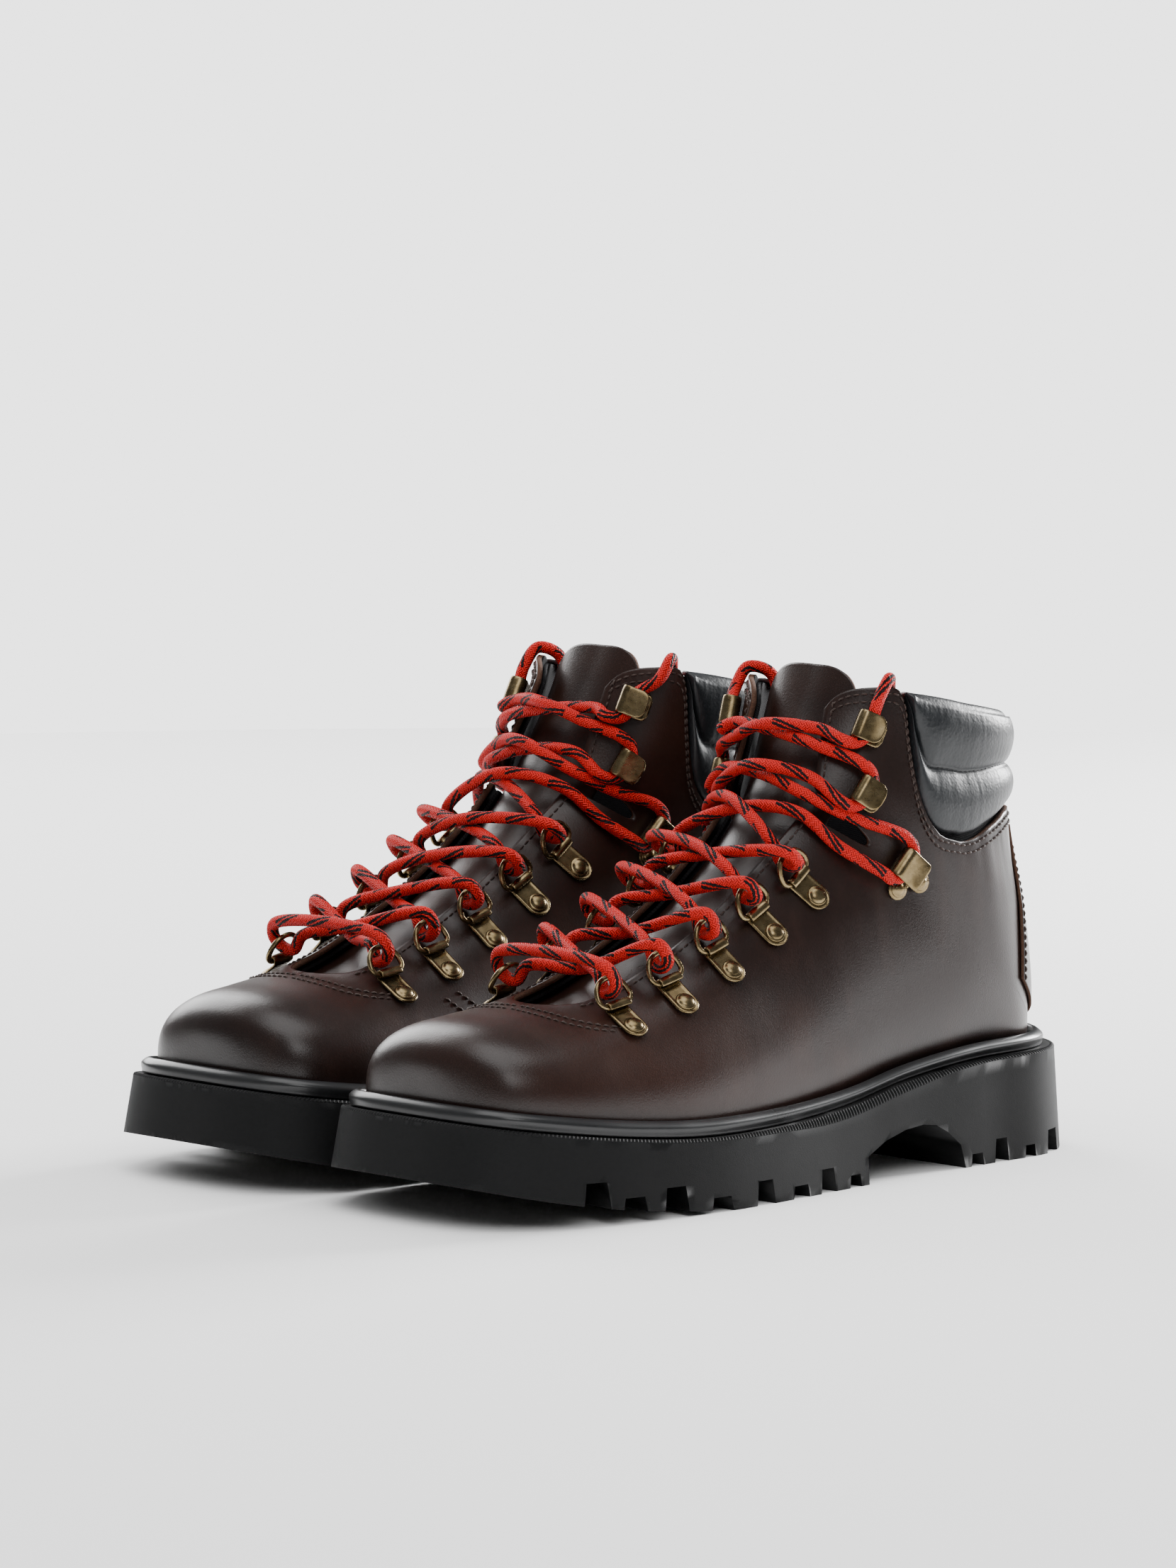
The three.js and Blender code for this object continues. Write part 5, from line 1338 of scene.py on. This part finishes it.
def through(points, step):
    """Centripetal Catmull-Rom curve: a cubic between each two points, with knots spaced by
    the square root of the distances, then sampled at equal steps of length."""
    p = np.array(points)
    p = np.vstack([2 * p[0] - p[1], p, 2 * p[-1] - p[-2]])
    gap = np.maximum(np.linalg.norm(np.diff(p, axis=0), axis=1) ** 0.5, 1e-4)[:, None]
    s = np.linspace(0, 1, 40, endpoint=False)[None, :, None]
    a, b, c = gap[:-2, None], gap[1:-1, None], gap[2:, None]
    p0, p1, p2, p3 = (p[k:len(p) - 3 + k, None] for k in range(4))
    m1 = ((p1 - p0) / a - (p2 - p0) / (a + b) + (p2 - p1) / b) * b
    m2 = ((p2 - p1) / b - (p3 - p1) / (b + c) + (p3 - p2) / c) * b
    fine = ((2 * s**3 - 3 * s**2 + 1) * p1 + (s**3 - 2 * s**2 + s) * m1 + (3 * s**2 - 2 * s**3) * p2
            + (s**3 - s**2) * m2).reshape(-1, 3)
    fine = np.vstack([fine, p[-2]])
    run = np.concatenate([[0], np.cumsum(np.linalg.norm(np.diff(fine, axis=0), axis=1))])
    at = np.linspace(0, run[-1], int(run[-1] / step) + 1)
    return np.stack([np.interp(at, run, fine[:, k]) for k in range(3)], 1), run[-1]


lace_line, lace_length = through(climb(1)[::-1] + climb(-1), 0.75)
print("lace length:", round(float(lace_length)), "mm")

# %% Tube and braid


def tube(line, radius, around=14):
    """A circle carried along a line; its frame is turned as little as possible from one
    station to the next, by projecting the last one's side onto the new plane."""
    ahead = np.gradient(line, axis=0)
    ahead /= np.linalg.norm(ahead, axis=1, keepdims=True)
    side = np.zeros_like(line)
    now = unit(np.cross(ahead[0], [0.3, 0.2, 1.0]))
    for i, t in enumerate(ahead):
        now = now - t * (now @ t)
        now /= math.sqrt(now @ now)
        side[i] = now
    other = np.cross(ahead, side)
    a = np.linspace(0, 2 * np.pi, around, endpoint=False)[None, :, None]
    radius = np.broadcast_to(radius, len(line))[:, None, None]
    return line[:, None] + radius * (side[:, None] * np.cos(a) + other[:, None] * np.sin(a))


def lace():
    around, tip = 14, 28
    count = len(lace_line)
    from_end = np.minimum(np.arange(count), np.arange(count)[::-1])
    radius = np.where(from_end < tip, 1.9, LACE)
    radius = radius * np.where(from_end == 0, 0.5, 1.0)
    grid = tube(lace_line, radius, around)
    points, faces = capped(grid, None)
    rows = np.arange(count - 1)[:, None] + np.zeros((1, around))
    cols = np.arange(around)[None, :] + np.zeros((count - 1, 1))
    corners = [np.stack([cols + dj, rows + di], -1) for di, dj in ((0, 0), (0, 1), (1, 1), (1, 0))]
    corner = np.stack(corners, 2)
    uv = corner.reshape(-1, 4, 2) * [1 / around, 0.75 / 1.05]
    uv = np.concatenate([uv, np.zeros((2 * around, 4, 2))])
    unturned = np.concatenate([grid_faces(count, around, wrap_columns=True), faces[-2 * around:]])
    if not np.array_equal(faces, unturned):
        uv = uv[:, ::-1]
    slots = np.zeros(len(faces))
    slots[:(count - 1) * around] = np.repeat(from_end[:-1] < tip, around)
    slots[-2 * around:] = 1
    return points, faces, uv, slots


points, faces, uv, slots = lace()
laces = pair("braided_lace", points, faces, [LACE_BRAID, TIP], "lace", "lace_braid",
             oriented=True, slots=slots, uvs=uv)
for piece, flip in zip(laces, (1, -1)):
    path = lace_line[::4] * [flip, 1, 1] / 1000
    tuple(path[0])
print("lace:", len(faces), "faces each")

# %% [markdown]
# ## Stitching
# Seams are rows of short thread stitches, each sunk at both ends. A row is a line of (turn,
# v) on the last, stepped at equal lengths, and every stitch is the same small capsule
# turned along its row.

# %% Stitches


def stitch_row(turn, v, side, lift=0.15, pitch=2.9, length=2.4, radius=0.42):
    """Capsules of 6 sides and 5 rings, the middle ones fuller, at equal steps of a line."""
    fine = to_frame(off_last(turn, v, side, lift))
    normal = to_frame(off_last(turn, v, side, lift + 1)) - fine
    run = np.concatenate([[0], np.cumsum(np.linalg.norm(np.diff(fine, axis=0), axis=1))])
    at = np.arange(pitch / 2, run[-1] - pitch / 4, pitch)
    take = lambda values, where: np.stack([np.interp(where, run, values[:, k]) for k in range(3)], 1)
    centre, n = take(fine, at), take(normal, at)
    ahead = take(fine, at + 0.5) - take(fine, at - 0.5)
    ahead /= np.linalg.norm(ahead, axis=1, keepdims=True)
    aside = np.cross(ahead, n)
    aside /= np.linalg.norm(aside, axis=1, keepdims=True)
    s = np.array([-1, -0.8, 0, 0.8, 1.0])[None, :, None, None]
    r = np.array([0.15, 0.75, 1.0, 0.75, 0.15])[None, :, None, None] * radius
    a = np.linspace(0, 2 * np.pi, 6, endpoint=False)[None, None, :, None]
    grid = (centre[:, None, None] + ahead[:, None, None] * s * length / 2
            + n[:, None, None] * (0.2 - 0.45 * s**2) + aside[:, None, None] * np.cos(a) * r
            + np.cross(aside, ahead)[:, None, None] * np.sin(a) * r)
    count = len(at)
    one = grid_faces(5, 6, wrap_columns=True)
    caps = np.array([[0, 5, 4, 3], [0, 3, 2, 1], [24, 25, 26, 27], [24, 27, 28, 29]])
    faces = (np.concatenate([one, caps])[None] + 30 * np.arange(count)[:, None, None]).reshape(-1, 4)
    return grid.reshape(-1, 3), faces


def down(turn, v, side, mm):
    """v of a line some millimetres below a line on the last."""
    step = np.linalg.norm(last(turn, v, side) - last(turn, v - 0.01, side), axis=-1)
    return v - 0.01 * mm / step


def inside(turn, v, side, mm):
    """turn of a line some millimetres behind a line on the last."""
    step = np.linalg.norm(last(turn, v, side) - last(turn - 0.01, v, side), axis=-1)
    return turn - 0.01 * mm / step


def through_line(pairs, count=160):
    knots = np.array(pairs, float)
    run = np.concatenate([[0], np.cumsum(np.hypot(*np.diff(knots * [3, 5], axis=0).T))])
    both = smooth(run, knots, np.linspace(0, run[-1], count))
    return both[:, 0], both[:, 1]


def brown_rows():
    rows = []
    for side in (1, -1):
        turn = np.linspace(0.004, 0.872, 700)
        for mm in (2.2, 5.0):
            rows.append(stitch_row(turn, down(turn, leather_top(turn), side, mm), side))
        for low, high in ((0.305, 0.632), (0.692, 0.895)):
            v = np.linspace(low, high, 400)
            rows.append(stitch_row(inside(facing_turn(v), v, side, 3.0), v, side))
        v = np.linspace(0.7, 0.855, 200)
        reach = curve((0.66, 0.315), (0.7, 0.325), (0.74, 0.31), (0.79, 0.27), (0.84, 0.2), (0.9, 0.15))(v)
        rows.append(stitch_row(inside(reach, v, side, 2.4), v, side, 1.7))
        for shift in (0, 0.012):
            turn, v = through_line([(0.997, 0.262), (0.93, 0.262), (0.85, 0.27), (0.79, 0.288), (0.75, 0.31)])
            rows.append(stitch_row(turn, v + shift, side))
        turn, v = through_line([(0.69, 0.36), (0.62, 0.375), (0.5, 0.41),
                                (0.4, 0.45), (0.3, 0.5), (0.22, 0.54)])
        if side < 0:
            rows += [stitch_row(turn, v, side), stitch_row(turn, v + 0.014, side)]
    return merged(rows)


def collar_rows():
    turn = np.linspace(0.003, 0.63, 500)
    seam = leather_top(turn) + 0.006
    room = collar_top(turn) - leather_top(turn) - 0.006
    v = np.clip(collar_seam(turn), seam + 0.3 * room, seam + 0.7 * room)
    return merged([stitch_row(turn, v, side, -0.9, 2.4, 1.9, 0.3) for side in (1, -1)])


points, faces = brown_rows()
pair("leather_stitching", points, faces, [THREAD], None, "brown_leather", oriented=True)
points, faces = collar_rows()
pair("collar_stitching", points, faces, [BLACK_THREAD], None, "black_leather", oriented=True)
print("stitch faces a boot:", len(faces))

# %% [markdown]
# ## Inner parts
# The footbed, the board under it, the shank in the sole and the stiff cup at the heel have
# the right shapes already, so they only get their own finishes.

# %% Inner finishes
for boot in ("left", "right"):
    for node, finish in (("footbed", BED_CLOTH), ("insole_board", BOARD),
                         ("shank", STEEL), ("heel_counter", BOARD)):
        mesh = bpy.data.objects[f"{boot}_{node}"].data
        mesh.materials.clear()
        mesh.materials.append(finish)
